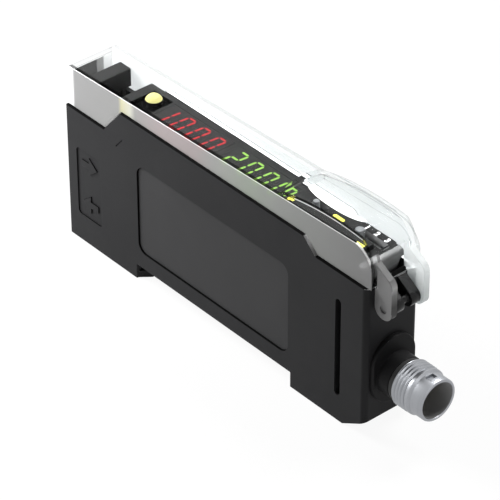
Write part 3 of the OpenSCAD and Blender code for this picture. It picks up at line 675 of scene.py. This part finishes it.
def add_materials(obj: Piece, *materials: Material) -> None:
    """Gives an object more materials, for some of its faces."""
    for material in materials:
        obj.data.materials.append(material)


def edit_all() -> None:
    """Opens the active object in edit mode with everything selected."""
    bpy.ops.object.mode_set(mode="EDIT")
    bpy.ops.mesh.select_all(action="SELECT")


def drawn(name: str, corners: Sequence[Point3], filling: str) -> Piece:
    """A closed outline that is open in edit mode.

    Args:
        name: Name of the piece.
        corners: Its corners in millimetres.
        filling: How the outline is filled.

    Returns:
        The outline.
    """
    deselect()
    bpy.ops.mesh.primitive_circle_add(vertices=len(corners), fill_type=filling)
    obj = named(name)
    for vertex, corner in zip(obj.data.vertices, corners):
        vertex.co = Vector(corner) * MM
    edit_all()
    return obj


def face_out(weld: float = 0.0) -> None:
    """Welds the mesh in edit mode, turns its faces out and leaves edit mode.

    Args:
        weld: Distance in metres up to which points are welded, or 0 for no weld.
    """
    bpy.ops.mesh.select_all(action="SELECT")
    if weld:
        bpy.ops.mesh.remove_doubles(threshold=weld)
    bpy.ops.mesh.normals_make_consistent(inside=False)
    bpy.ops.object.mode_set(mode="OBJECT")


def plate(name: str, outline: Sequence[Point2], z: float, thickness: float) -> Piece:
    """A flat plate that lies on the deck.

    Args:
        name: Name of the piece.
        outline: Corners in X and Y, in millimetres.
        z: Height of its underside in millimetres.
        thickness: Thickness in millimetres.

    Returns:
        The plate.
    """
    obj = drawn(name, [(x, y, z) for x, y in outline], "NGON")
    bpy.ops.mesh.extrude_region_move(TRANSFORM_OT_translate={"value": (0, 0, thickness * MM)})
    face_out()
    return obj


def spun(name: str, profile: Sequence[Point2], axis_z: float, steps: int = 96) -> Piece:
    """A ring turned about a line along X.

    Args:
        name: Name of the piece.
        profile: Closed profile as places along X and radii, in millimetres.
        axis_z: Height of the line in millimetres.
        steps: Number of steps round the line.

    Returns:
        The ring.
    """
    obj = drawn(name, [(x, 0, axis_z + radius) for x, radius in profile], "NOTHING")
    centre = (profile[0][0] * MM, 0, axis_z * MM)
    bpy.ops.mesh.spin(steps=steps, angle=2 * math.pi, center=centre, axis=(1, 0, 0))
    face_out(SPIN_WELD)
    return obj


def joined(name: str, parts: Sequence[Piece]) -> Piece:
    """Joins plates that make one printed or lit piece.

    Args:
        name: Name of the piece.
        parts: The plates.

    Returns:
        The joined piece.
    """
    deselect()
    for part in parts:
        part.select_set(True)
    bpy.context.view_layer.objects.active = parts[0]
    bpy.ops.object.join()
    return named(name)


def lettered(name: str, text: str, size: float, place: Point3) -> Piece:
    """A printed sign, centred on its place and read along X.

    Args:
        name: Name of the piece.
        text: The sign.
        size: Height of the type in millimetres.
        place: Middle of the sign in millimetres.

    Returns:
        The sign as a mesh.
    """
    deselect()
    bpy.ops.object.text_add()
    sign = bpy.context.active_object
    sign.data.body = text
    sign.data.size = size * MM
    sign.data.extrude = SIGN_DEPTH * MM
    sign.data.offset = SIGN_WEIGHT * MM
    sign.data.resolution_u = 4
    sign.data.align_x = "CENTER"
    sign.data.align_y = "CENTER"
    bpy.ops.object.convert(target="MESH")
    sign = named(name)
    sign.location = Vector(place) * MM
    bpy.ops.object.transform_apply(location=True, rotation=True, scale=True)
    return sign


@dataclass
class Assembly:
    """A sub-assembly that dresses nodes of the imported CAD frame; its sizes are in millimetres.

    Args:
        finishes: The finishes.
    """

    data: dict[str, Any]
    finishes: Finishes

    @cached_property
    def slots(self) -> dict[str, str]:
        """The record's material slot of each node."""
        return {part["node"]: part["material_slot"] for part in self.data["record"]["subparts"]}

    def box(self, node: str) -> tuple[Vector, Vector]:
        """Lowest and highest corner of a node in millimetres."""
        low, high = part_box(node)
        return Vector(low) / MM, Vector(high) / MM

    def middle(self, node: str) -> Point3:
        """Middle of a node's box in millimetres."""
        low, high = self.box(node)
        return tuple((a + b) / 2 for a, b in zip(low, high))

    def break_edges(
        self, piece: Piece, edge: float, segments: int = 2, slot: int = -1, angle: float = 38.0
    ) -> None:
        """Breaks the sharp edges of a copy and keeps its flat faces flat.

        Args:
            piece: The copy.
            edge: Width of the broken edges in millimetres.
            segments: Segments of the broken edges.
            slot: Material slot of the broken edges, or -1 for that of the faces beside them.
            angle: Angle in degrees from which an edge counts as sharp.
        """
        apply_modifier(
            piece, "BEVEL", width=edge * MM, segments=segments, limit_method="ANGLE", material=slot,
            angle_limit=math.radians(angle), use_clamp_overlap=False, miter_outer="MITER_ARC",
        )
        smooth(piece)
        apply_modifier(piece, "WEIGHTED_NORMAL", keep_sharp=True)

    def settle(
        self, piece: Piece, material: Material, nodes: Sequence[str] = (), slot: str | None = None,
        body: Body = Body.HOUSING,
    ) -> Piece:
        """Dresses a piece and ties it to its body.

        Args:
            piece: The piece.
            material: Its material.
            nodes: CAD nodes that it stands for.
            slot: Slot of the record, if it stands for no node; not used.
            body: Body that it rides on.

        Returns:
            The piece.
        """
        set_material(piece, material)
        if nodes:
            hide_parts(*nodes)
        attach(piece, body.value)
        LOG.info("%s rides on %s", piece.name, body.value)
        return piece

    def dress(
        self, node: str, name: str, material: Material, edge: float = 0.12, body: Body = Body.HOUSING
    ) -> Piece:
        """A copy of a node's solid with its sharp edges broken, dressed and tied to its body.

        Args:
            node: CAD node that it stands for.
            name: Name of the piece.
            material: Its material.
            edge: Width of the broken edges in millimetres, or 0 for sharp edges.
            body: Body that it rides on.

        Returns:
            The piece.
        """
        source = self.data["nodes"][node]
        deselect()
        piece = source.copy()
        piece.data = source.data.copy()
        piece.parent = None
        piece.matrix_world = Matrix.Identity(4)
        bpy.context.scene.collection.objects.link(piece)
        pick(piece)
        named(name)
        bpy.ops.mesh.customdata_custom_splitnormals_clear()
        edit_all()
        bpy.ops.mesh.remove_doubles(threshold=COPY_WELD)
        bpy.ops.mesh.dissolve_limited(angle_limit=FLAT_ANGLE)
        bpy.ops.object.mode_set(mode="OBJECT")
        if edge:
            self.break_edges(piece, edge)
        else:
            smooth(piece)
        return self.settle(piece, material, (node,), body=body)

    def paint(self, material: Material, *nodes: str) -> None:
        """Gives a material to nodes that stay as they are."""
        for node in nodes:
            set_material(self.data["nodes"][node], material)


# Sub-assemblies


class CasePart(Enum):
    """Parts of the case, by material slot."""

    BODY = 0
    LEDGE = 1
    HINGE = 2
    SLOPE = 3


@dataclass
class MouldedCase(Assembly):
    """The black case, its back plate and the plain label film.

    Faces that look up, from ledge_from on, are ledges and get a near-black painted shade, except on the grey
    platform between them, which has a height and a half width. The recess is the field whose recess walls get the
    same painted
    shade: its half length, place along Y, foot and top. A ledge looks up, and a slope to the connector's end, by
    more than lean; the slope gets a light grey painted highlight.
    """

    edge: float = 0.08
    film_edge: float = 0.04
    ledge_from: float = 20.5
    platform: Point2 = (22.3, 4.1)
    knuckle_from: float = 33.8
    recess: tuple[float, float, float, float] = (32.0, -4.5, 0.5, 20.4)
    recess_wall: float = 0.6
    lean: float = 0.3

    def part_of(self, face: Face) -> CasePart:
        """The part of the case that a face belongs to.

        Args:
            face: The face.

        Returns:
            The part.
        """
        x, y, z = face.center / MM
        reach, side, foot, top = self.recess
        if x > self.knuckle_from:
            return CasePart.HINGE
        if abs(x) < reach and y < side and abs(face.normal.y) < self.recess_wall and z < top:
            return CasePart.LEDGE if z > foot else CasePart.BODY
        on_platform = x < 0 and z > self.platform[0] and abs(y) < self.platform[1]
        if face.normal.z < self.lean or z < self.ledge_from or on_platform:
            return CasePart.BODY
        # A slope to the connector's end takes the light grey painted highlight.
        return CasePart.SLOPE if face.normal.x > self.lean and x > 0 else CasePart.LEDGE

    def build(self) -> None:
        """Builds and dresses the case."""
        finishes = self.finishes
        case = self.dress("housing_case", "case_shell", finishes.case, self.edge)
        add_materials(case, finishes.ledge, finishes.gloss, finishes.pit)
        # Ledges and recess walls take the near-black painted shade, the slope the light grey painted highlight.
        for face in case.data.polygons:
            face.material_index = self.part_of(face).value
        self.dress("side_cover", "back_plate", finishes.case, self.edge)
        self.dress("side_label", "label_film", finishes.label, self.film_edge)


class CoverPart(Enum):
    """Parts of the clear cover, by material slot."""

    CLEAR = 0
    SATIN = 1
    MILKY = 2
    ROOF = 3
    RIM = 4
    END_WALL = 5
    BACK_EAR = 6
    SHADED = 7
    FROSTED = 8


@dataclass
class ClearCover(Assembly):
    """The clear cover: a satin front wall and front ear, a milky back, a clear roof and bright edges.

    Edges past the angle sharp get a bright rim, a painted highlight. wall_end bounds the rimless ears along X and Z;
    their edge faces get painted shade with a painted highlight band, and the front wall's ends the roof's dark
    painted shade. The step at the dome's foot, with its reach along Y, has no bright rim but the roof's dark painted
    shade, nor has the dome's corner up to dome_from. From the first place of curl on, the front wall's upper edge
    gets the painted highlight up to the second, along Y. The values under 1 are how far a face of that part looks
    along an axis.
    """

    edge: float = 0.07
    sharp: float = 55.0
    front: float = -4.5
    back: float = 3.4
    upright: float = 0.95
    foot: float = 0.3
    roof: float = 0.25
    ear_from: float = 34.3
    ear_face: float = 0.7
    wall_end: Point2 = (33.0, 27.5)
    inner_end: float = -32.0
    step: Point2 = (-4.5, -3.4)
    step_face: float = 0.8
    dome_from: float = 17.8
    curl: Point2 = (28.8, -4.3)

    def part_of(self, face: Face) -> CoverPart:
        """The part of the cover that a face belongs to.

        Args:
            face: The face.

        Returns:
            The part.
        """
        x, y, z = face.center / MM
        wall = abs(face.normal.y) > self.upright
        if y > self.back and face.normal.z < -self.foot and x < self.wall_end[0] and z < self.wall_end[1]:
            return CoverPart.FROSTED
        if x > self.ear_from:
            return CoverPart.SATIN if y < 0 else CoverPart.BACK_EAR
        if face.normal.x > self.upright and x < self.inner_end:
            return CoverPart.END_WALL
        if wall and y < self.front:
            return CoverPart.SATIN
        if wall and y > self.back:
            return CoverPart.MILKY
        return CoverPart.ROOF if face.normal.z > self.roof else CoverPart.CLEAR

    def rimmed_part_of(self, face: Face) -> CoverPart:
        """The part that a face belongs to once the edges are broken.

        Args:
            face: The face.

        Returns:
            The part.
        """
        x, y, z = face.center / MM
        part, low = CoverPart(face.material_index), z < self.wall_end[1]
        # The ears' edge faces take painted shade with a painted highlight band, and the front wall's ends the roof's
        # dark painted shade.
        if x > self.wall_end[0] and low:
            edge = CoverPart.SHADED if x > self.ear_from else CoverPart.ROOF
            front = CoverPart.SATIN if abs(face.normal.y) > self.ear_face else edge
            return front if y < 0 else CoverPart.BACK_EAR
        if x > self.curl[0] and y < self.curl[1] and abs(face.normal.y) < self.upright:
            return CoverPart.RIM
        if part is not CoverPart.RIM:
            return part
        if y > self.back and low:
            return CoverPart.FROSTED
        # Broken edges of the step and the dome's corner take the roof's dark painted shade instead of the painted
        # highlight.
        if self.step[0] < y < self.step[1] and (face.normal.y > -self.step_face or x < self.dome_from):
            return CoverPart.ROOF
        return CoverPart.CLEAR if x > self.curl[0] and abs(y) < self.back else part

    def build(self) -> None:
        """Builds and dresses the cover."""
        finishes = self.finishes
        cover = self.dress("dust_cover", "cover_shell", finishes.clear, 0.0, Body.COVER)
        add_materials(
            cover, finishes.satin, finishes.milky, finishes.roof, finishes.rim, finishes.end_wall,
            finishes.back_ear, finishes.shaded, finishes.frosted,
        )
        for face in cover.data.polygons:
            face.material_index = self.part_of(face).value
        # Broken edges take the painted highlight of the rim finish.
        self.break_edges(cover, self.edge, 1, CoverPart.RIM.value, self.sharp)
        for face in cover.data.polygons:
            face.material_index = self.rimmed_part_of(face).value


@dataclass
class Numerals(Assembly):
    """Lit numerals of one display node, in seven segments that lean by an angle in degrees."""

    node: str
    text: str
    left: float
    width: float = 1.95
    height: float = 4.1
    bottom: float = -1.9
    pitch: float = 3.45
    stroke: float = 0.34
    gap: float = 0.13
    lean: float = 6.0
    thickness: float = 0.04

    SEGMENTS = {"0": "abcdef", "1": "bc", "2": "abged"}

    def ends(self) -> dict[str, tuple[Point2, Point2]]:
        """The segments of a numeral, from its lower left corner.

        Returns:
            The two ends of each segment.
        """
        inset = self.stroke / 2
        left, right = inset, self.width - inset
        low, mid, high = inset, self.height / 2, self.height - inset
        return {
            "a": ((left, high), (right, high)), "g": ((left, mid), (right, mid)), "d": ((left, low), (right, low)),
            "f": ((left, mid), (left, high)), "b": ((right, mid), (right, high)),
            "e": ((left, low), (left, mid)), "c": ((right, low), (right, mid)),
        }

    def segment(self, start: Point2, end: Point2) -> list[Point2]:
        """The pointed outline of a segment.

        Args:
            start: One end.
            end: The other end.

        Returns:
            Six corners.
        """
        a, b = Vector(start), Vector(end)
        along = (b - a).normalized()
        across = Vector((-along.y, along.x)) * self.stroke / 2
        a, b = a + along * self.gap, b - along * self.gap
        tip = along * self.stroke / 2
        return [tuple(p) for p in (a, a + tip - across, b - tip - across, b, b - tip + across, a + tip + across)]

    def build(self, material: Material) -> None:
        """Builds the lit segments on the display.

        Args:
            material: Their material.
        """
        top = self.box(self.node)[1].z
        slope = math.tan(math.radians(self.lean))
        plates = []
        for place, digit in enumerate(self.text):
            x0 = self.left + place * self.pitch
            for label in self.SEGMENTS[digit]:
                outline = [
                    (x0 + x + (y - self.height / 2) * slope, self.bottom + y)
                    for x, y in self.segment(*self.ends()[label])
                ]
                plates.append(plate(f"{self.node}_{place}{label}", outline, top, self.thickness))
        name = self.node.replace("display", "numerals")
        self.settle(joined(name, plates), material, slot=self.slots[self.node])


class DeckPart(Enum):
    """Parts of the panel, by material slot."""

    FLAT = 0
    POCKET = 1
    SLOT = 2
    ROLL = 3


@dataclass
class DisplayDeck(Assembly):
    """The deck under the cover: panel, displays, lamp, rocker, switches and printed marks.

    The lamp's pocket has a half length, a half width and a depth, with a margin; its walls and floor get the
    near-black painted shade of the ledges. The white field at the deck's back edge has a middle along X, a half
    length and a depth, and it laps the case's rim behind the panel. Openings holds the place along X where the
    switch slots start and their half width; the slot walls get light grey painted light that lifts their shade. Roll
    holds the place where the panel rolls down and its least lean, and digit the height, place along Y and pitch of
    the mode switch's digits. Crown is how far the rocker's top falls to its ends, and skin how far off the deck's
    height still counts as the deck.
    """

    panel_edge: float = 0.04
    red_left: float = -16.85
    green_left: float = -1.45
    ink: float = 0.03
    mark: float = 1.5
    stroke: float = 0.4
    mark_inset: float = 1.1
    mark_shift: float = 0.25
    crown: float = 0.2
    sink: float = 0.012
    pocket: Point3 = (2.2, 2.95, 0.9)
    skin: float = 0.02
    field: Point3 = (17.6, 6.2, 1.5)
    field_steps: int = 24
    lap: float = 0.25
    openings: Point2 = (8.0, 3.55)
    slot_wall: float = 0.3
    roll: Point2 = (30.0, 0.1)
    digit: Point3 = (1.3, 3.05, 2.1)
    bar_middle: Point2 = (20.5, 1.6)
    bar_size: Point2 = (2.2, 0.7)
    bar_round: float = 0.34

    CORNERS = ((1, 1), (-1, 1), (-1, -1), (1, -1))
    CORNER_STEPS = 8

    def __post_init__(self) -> None:
        """Keeps the deck's height and the lamp's place along X."""
        self.deck: float = self.box("red_display")[1].z
        self.lamp_x: float = self.middle("output_lamp")[0]

    def build(self) -> None:
        """Builds and dresses the deck."""
        finishes, dress = self.finishes, self.dress
        panel = dress("top_panel", "deck_panel", finishes.panel, self.panel_edge)
        add_materials(panel, finishes.ledge, finishes.pit, finishes.roll)
        # The lamp pocket takes the near-black painted shade, the switch slots light grey painted light.
        for face in panel.data.polygons:
            face.material_index = self.part_of(face).value
        for node in ("red_display", "green_display"):
            dress(node, node.replace("display", "window"), finishes.panel, 0.0)
        dress("output_lamp", "lamp_lens", finishes.lamp, 0.0)
        dress("rocker_button", "rocker_key", finishes.panel, body=Body.ROCKER)
        dress("mode_switch_knob", "mode_knob_cap", finishes.knob, body=Body.MODE_KNOB)
        dress("output_switch_knob", "output_knob_cap", finishes.knob, body=Body.OUTPUT_KNOB)
        Numerals(self.data, finishes, "red_display", "1000", self.red_left).build(finishes.red)
        Numerals(self.data, finishes, "green_display", "2000", self.green_left).build(finishes.green)
        self.mark_rocker()
        self.print_panel()

    def part_of(self, face: Face) -> DeckPart:
        """The part of the panel that a face belongs to.

        Args:
            face: The face.

        Returns:
            The part.
        """
        x, y, z = face.center / MM
        near_lamp = abs(x - self.lamp_x) < self.pocket[0] and abs(y) < self.pocket[1]
        if near_lamp and z > self.deck - self.pocket[2] and abs(z - self.deck) > self.skin:
            return DeckPart.POCKET
        if x > self.roll[0] and face.normal.x > self.roll[1]:
            return DeckPart.ROLL
        in_slot = x > self.openings[0] and abs(y) < self.openings[1] and z < self.deck - self.skin
        return DeckPart.SLOT if in_slot and abs(face.normal.z) < self.slot_wall else DeckPart.FLAT

    def bar(self, name: str, centre: Point2, size: Point2, z: float, radius: float = 0.0) -> Piece:
        """A printed bar with round or square ends.

        Args:
            name: Name of the piece.
            centre: Middle of the bar.
            size: Length along X and along Y.
            z: Height of the surface that carries it.
            radius: Corner radius.

        Returns:
            The bar.
        """
        half_x, half_y = size[0] / 2 - radius, size[1] / 2 - radius
        outline = []
        steps = self.CORNER_STEPS if radius else 1
        for corner, (sx, sy) in enumerate(self.CORNERS):
            for step in range(steps):
                turn = math.radians(90 * (corner + step / max(steps - 1, 1)))
                outline.append((
                    centre[0] + sx * half_x + radius * math.cos(turn),
                    centre[1] + sy * half_y + radius * math.sin(turn),
                ))
        return plate(name, outline, z, self.ink)

    def mark_rocker(self) -> None:
        """Prints the plus and the minus on the rocker."""
        low, high = self.box("rocker_button")
        centre, middle, _ = self.middle("rocker_button")
        half = (high.x - low.x) / 2
        reach = half - self.mark_inset
        rise = high.z - self.crown * (reach / half) - self.sink
        plus, minus = ((centre + side * reach, middle + self.mark_shift) for side in (-1, 1))
        along, across = (self.mark, self.stroke), (self.stroke, self.mark)
        marks = [
            self.bar(name, place, size, rise)
            for name, place, size in (("plus_a", plus, along), ("plus_b", plus, across), ("minus_a", minus, along))
        ]
        slot = self.slots["rocker_button"]
        self.settle(joined("rocker_marks", marks), self.finishes.yellow_ink, slot=slot, body=Body.ROCKER)

    def print_panel(self) -> None:
        """Prints the white field, the mode switch's digits and the yellow bar on the panel."""
        start = self.middle("mode_switch_knob")[0]
        back = self.box("top_panel")[1].y + self.lap
        turns = [math.pi * (1 + step / self.field_steps) for step in range(self.field_steps + 1)]
        middle, half, depth = self.field
        oval = [(middle + half * math.cos(turn), back + depth * math.sin(turn)) for turn in turns]
        prints = [plate("white_field", oval, self.deck, self.ink)]
        size, y, pitch = self.digit
        for place in range(3):
            spot = (start + pitch * place, y, self.deck + SIGN_DEPTH)
            prints.append(lettered(f"mode_{place}", str(place + 1), size, spot))
        bar = self.bar("set_bar", self.bar_middle, self.bar_size, self.deck, self.bar_round)
        slot = self.slots["rocker_button"]
        self.settle(joined("panel_print", prints), self.finishes.white_ink, slot=slot)
        self.settle(joined("set_print", [bar]), self.finishes.yellow_ink, slot=slot)


@dataclass
class SmallWorks(Assembly):
    """The clamp lever and the port block, the sprung rail latch, and what the case hides."""

    def build(self) -> None:
        """Builds lever, block and latch, and dresses the other nodes as they are."""
        finishes, paint = self.finishes, self.paint
        self.dress("clamp_lever", "lever_arm", finishes.panel, body=Body.LEVER)
        self.dress("fibre_block", "port_block", finishes.gloss)
        self.dress("rail_latch", "latch_slide", finishes.panel, body=Body.LATCH)
        paint(finishes.emitter, "emitter_diode")
        paint(finishes.receiver, "receiver_diode")
        paint(finishes.steel, "lever_pin", "latch_spring", "tact_switches")
        paint(finishes.board, "display_board", "main_board")
        paint(finishes.panel, "board_header", "rocker_yoke")
        # The switch bodies under the slots take light grey painted light that lifts their shade.
        paint(finishes.pit, "mode_switch_body", "output_switch_body")


@dataclass
class RoundConnector(Assembly):
    """The round connector: collar, seal, threaded shell, insulator and contacts.

    Lead, land, nose and mouth are chains of points at the ends of ring, barrel and bore: each point is a step along
    X from that end and a step off that radius. thread_form is one thread, in flanks along X and in depths. Edges are
    the broken edges of collar, insulator and contacts.
    """

    ring_length: float = 3.6
    ring_radius: float = 3.75
    barrel_radius: float = 3.4
    bore_radius: float = 2.9
    thread_from: float = 0.2
    thread_rest: float = 0.8
    thread_pitch: float = 0.62
    thread_depth: float = 0.2
    thread_flank: float = 0.3
    thread_form: tuple[Point2, ...] = ((0, 1), (1, 0), (1.6, 0), (2.6, 1))
    lead: tuple[Point2, ...] = ((0, 0.3), (0.12, 0.18))
    land: tuple[Point2, ...] = ((-0.6, 0.04), (-0.3, 0.06))
    nose: tuple[Point2, ...] = ((-0.2, 0), (-0.06, 0.08), (0, 0.2))
    mouth: tuple[Point2, ...] = ((0, 0.08), (-0.1, 0))
    key_size: Point3 = (0.9, 1.5, 0.45)
    key_from: float = 0.8
    bore_margin: float = 0.02
    edges: Point3 = (0.15, 0.06, 0.1)

    SMOOTH_ANGLE = 40.0

    def profile(self, start: float, end: float) -> list[Point2]:
        """The shell's profile with its thread.

        Args:
            start: Back end along X.
            end: Front end along X.

        Returns:
            Places along X and radii.
        """
        ring, barrel, bore = self.ring_radius, self.barrel_radius, self.bore_radius
        front = start + self.ring_length
        flank = self.thread_pitch * self.thread_flank
        points = [(start, bore)] + [(start + x, ring - r) for x, r in self.lead]
        for turn in range(int((self.ring_length - self.thread_rest) / self.thread_pitch)):
            root = start + self.thread_from + turn * self.thread_pitch
            points += [(root + flank * x, ring - self.thread_depth * r) for x, r in self.thread_form]
        points += [(front + x, ring - r) for x, r in self.land] + [(front, barrel)]
        points += [(end + x, barrel - r) for x, r in self.nose]
        return points + [(end + x, bore + r) for x, r in self.mouth]

    def shell(self) -> Piece:
        """Builds the shell with its thread and keyway.

        Returns:
            The shell.
        """
        low, high = self.box("connector_shell")
        axis_z = self.middle("connector_shell")[2]
        shell = spun("threaded_shell", self.profile(low.x, high.x), axis_z)
        length, width, depth = self.key_size
        deselect()
        bpy.ops.mesh.primitive_cube_add(size=1.0)
        key = named("keyway")
        centre = Vector((low.x + self.ring_length + self.key_from, 0, axis_z + self.barrel_radius))
        for vertex in key.data.vertices:
            corner = vertex.co
            vertex.co = (centre + Vector((corner.x * length, corner.y * width, corner.z * 2 * depth))) * MM
        apply_modifier(shell, "BOOLEAN", object=key, operation="DIFFERENCE", solver="EXACT")
        bpy.data.objects.remove(key)
        smooth(shell, self.SMOOTH_ANGLE)
        return shell

    def build(self) -> None:
        """Builds and dresses the connector."""
        finishes, dress = self.finishes, self.dress
        collar, insert, contacts = self.edges
        dress("connector_collar", "plug_collar", finishes.collar, collar)
        dress("connector_seal", "plug_seal", finishes.rubber, 0.0)
        shell = self.settle(self.shell(), finishes.nickel, ("connector_shell",))
        add_materials(shell, finishes.bore)
        axis = Vector((0, 0, self.middle("connector_shell")[2]))
        for face in shell.data.polygons:
            off = face.center / MM - axis
            off.x = 0
            in_bore = off.length < self.bore_radius + self.bore_margin
            face.material_index = int(face.normal.dot(off) < 0 and in_bore)
        dress("connector_insert", "plug_insert", finishes.panel, insert)
        dress("contact_pins", "plug_contacts", finishes.gold, contacts)


@dataclass
class Studio:
    """Floor, light and camera, with angles in degrees.

    floor_white is the share of plain white that the camera sees on the floor. Surround holds the strength of the
    surround as a light and as the camera sees it. A lamp has a name, a place, a side and a power in watts.
    """

    target: Point3 = (-2.87, 5.06, 6.0)
    azimuth: float = 49.35
    elevation: float = 35.86
    roll: float = -0.16
    distance: float = 479.2
    lens: float = 229.5
    floor_z: float = -2.65
    floor_white: float = 0.93
    surround: Point2 = (0.01, 1.0)
    lamps: tuple[tuple[str, Point3, float, float], ...] = (
        ("key_lamp", (-110, -50, 90), 60, 0.4),
        ("top_lamp", (30, 300, 480), 260, 2.8),
        ("end_lamp", (460, -60, 260), 120, 0.2),
    )

    def camera(self) -> None:
        """Sets the camera at the photograph's angle."""
        data = bpy.data.cameras.new("photo_camera")
        data.lens = self.lens
        data.sensor_width = 36.0
        data.clip_start = 0.01
        camera = bpy.data.objects.new("photo_camera", data)
        bpy.context.scene.collection.objects.link(camera)
        turn, lift = math.radians(self.azimuth), math.radians(self.elevation)
        back = Vector((math.sin(turn) * math.cos(lift), -math.cos(turn) * math.cos(lift), math.sin(lift)))
        camera.location = (Vector(self.target) + back * self.distance) * MM
        look = (-back).to_track_quat("-Z", "Y").to_matrix() @ Matrix.Rotation(math.radians(self.roll), 3, "Z")
        camera.rotation_euler = look.to_euler()
        bpy.context.scene.camera = camera

    def seen_white(self, tree: Tree) -> Any:
        """Adds the test for rays that see the background.

        Args:
            tree: Node tree that takes it.

        Returns:
            The output socket, 1 for camera, glossy and transmission rays.
        """
        path = add_node(tree, "LightPath").outputs
        seen = path["Is Camera Ray"]
        for label in ("Is Glossy Ray", "Is Transmission Ray"):
            seen = combine(tree, "MAXIMUM", seen, path[label])
        return seen

    def floor(self) -> None:
        """Lays the pale floor, which keeps the object's shadow."""
        deselect()
        bpy.ops.mesh.primitive_plane_add(size=6.0, location=(0, 0, self.floor_z * MM))
        floor = named("floor")
        blank = Blank("pale_floor")
        blank.set(Base_Color=rgba(0.92), Roughness=0.9)
        share = combine(blank.tree, "MULTIPLY", self.seen_white(blank.tree), self.floor_white)
        blank.blend(share, add_node(blank.tree, "Emission"))
        set_material(floor, blank.material)

    def world(self) -> None:
        """Sets a faint even light from all round that the camera sees as white."""
        world = bpy.data.worlds.new("surround")
        bpy.context.scene.world = world
        world.use_nodes = True
        tree = world.node_tree
        strength = span(tree, self.seen_white(tree), *self.surround)
        fill(tree, tree.nodes["Background"], Color=rgba(1.0), Strength=strength)

    def lights(self) -> None:
        """Hangs the soft square lamps, which face the target."""
        for name, place, size, power in self.lamps:
            data = bpy.data.lights.new(name, "AREA")
            data.size = size * MM
            data.energy = power
            lamp = bpy.data.objects.new(name, data)
            bpy.context.scene.collection.objects.link(lamp)
            lamp.location = Vector(place) * MM
            lamp.rotation_euler = (Vector(self.target) - Vector(place)).to_track_quat("-Z", "Y").to_euler()

    def build(self) -> None:
        """Sets up the studio."""
        self.floor()
        self.world()
        self.lights()
        self.camera()
        bpy.context.scene.view_settings.view_transform = "Standard"


def main(data: dict[str, Any]) -> None:
    """Builds every sub-assembly and the studio.
    """
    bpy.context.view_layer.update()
    finishes = Finishes()
    parts = (MouldedCase, DisplayDeck, SmallWorks, RoundConnector, ClearCover)
    for assembly in (*(part(data, finishes) for part in parts), Studio()):
        assembly.build()
        LOG.info("%s is done", type(assembly).__name__)


if __name__ == "__main__":
    logging.basicConfig(level=logging.INFO)
    main(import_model())
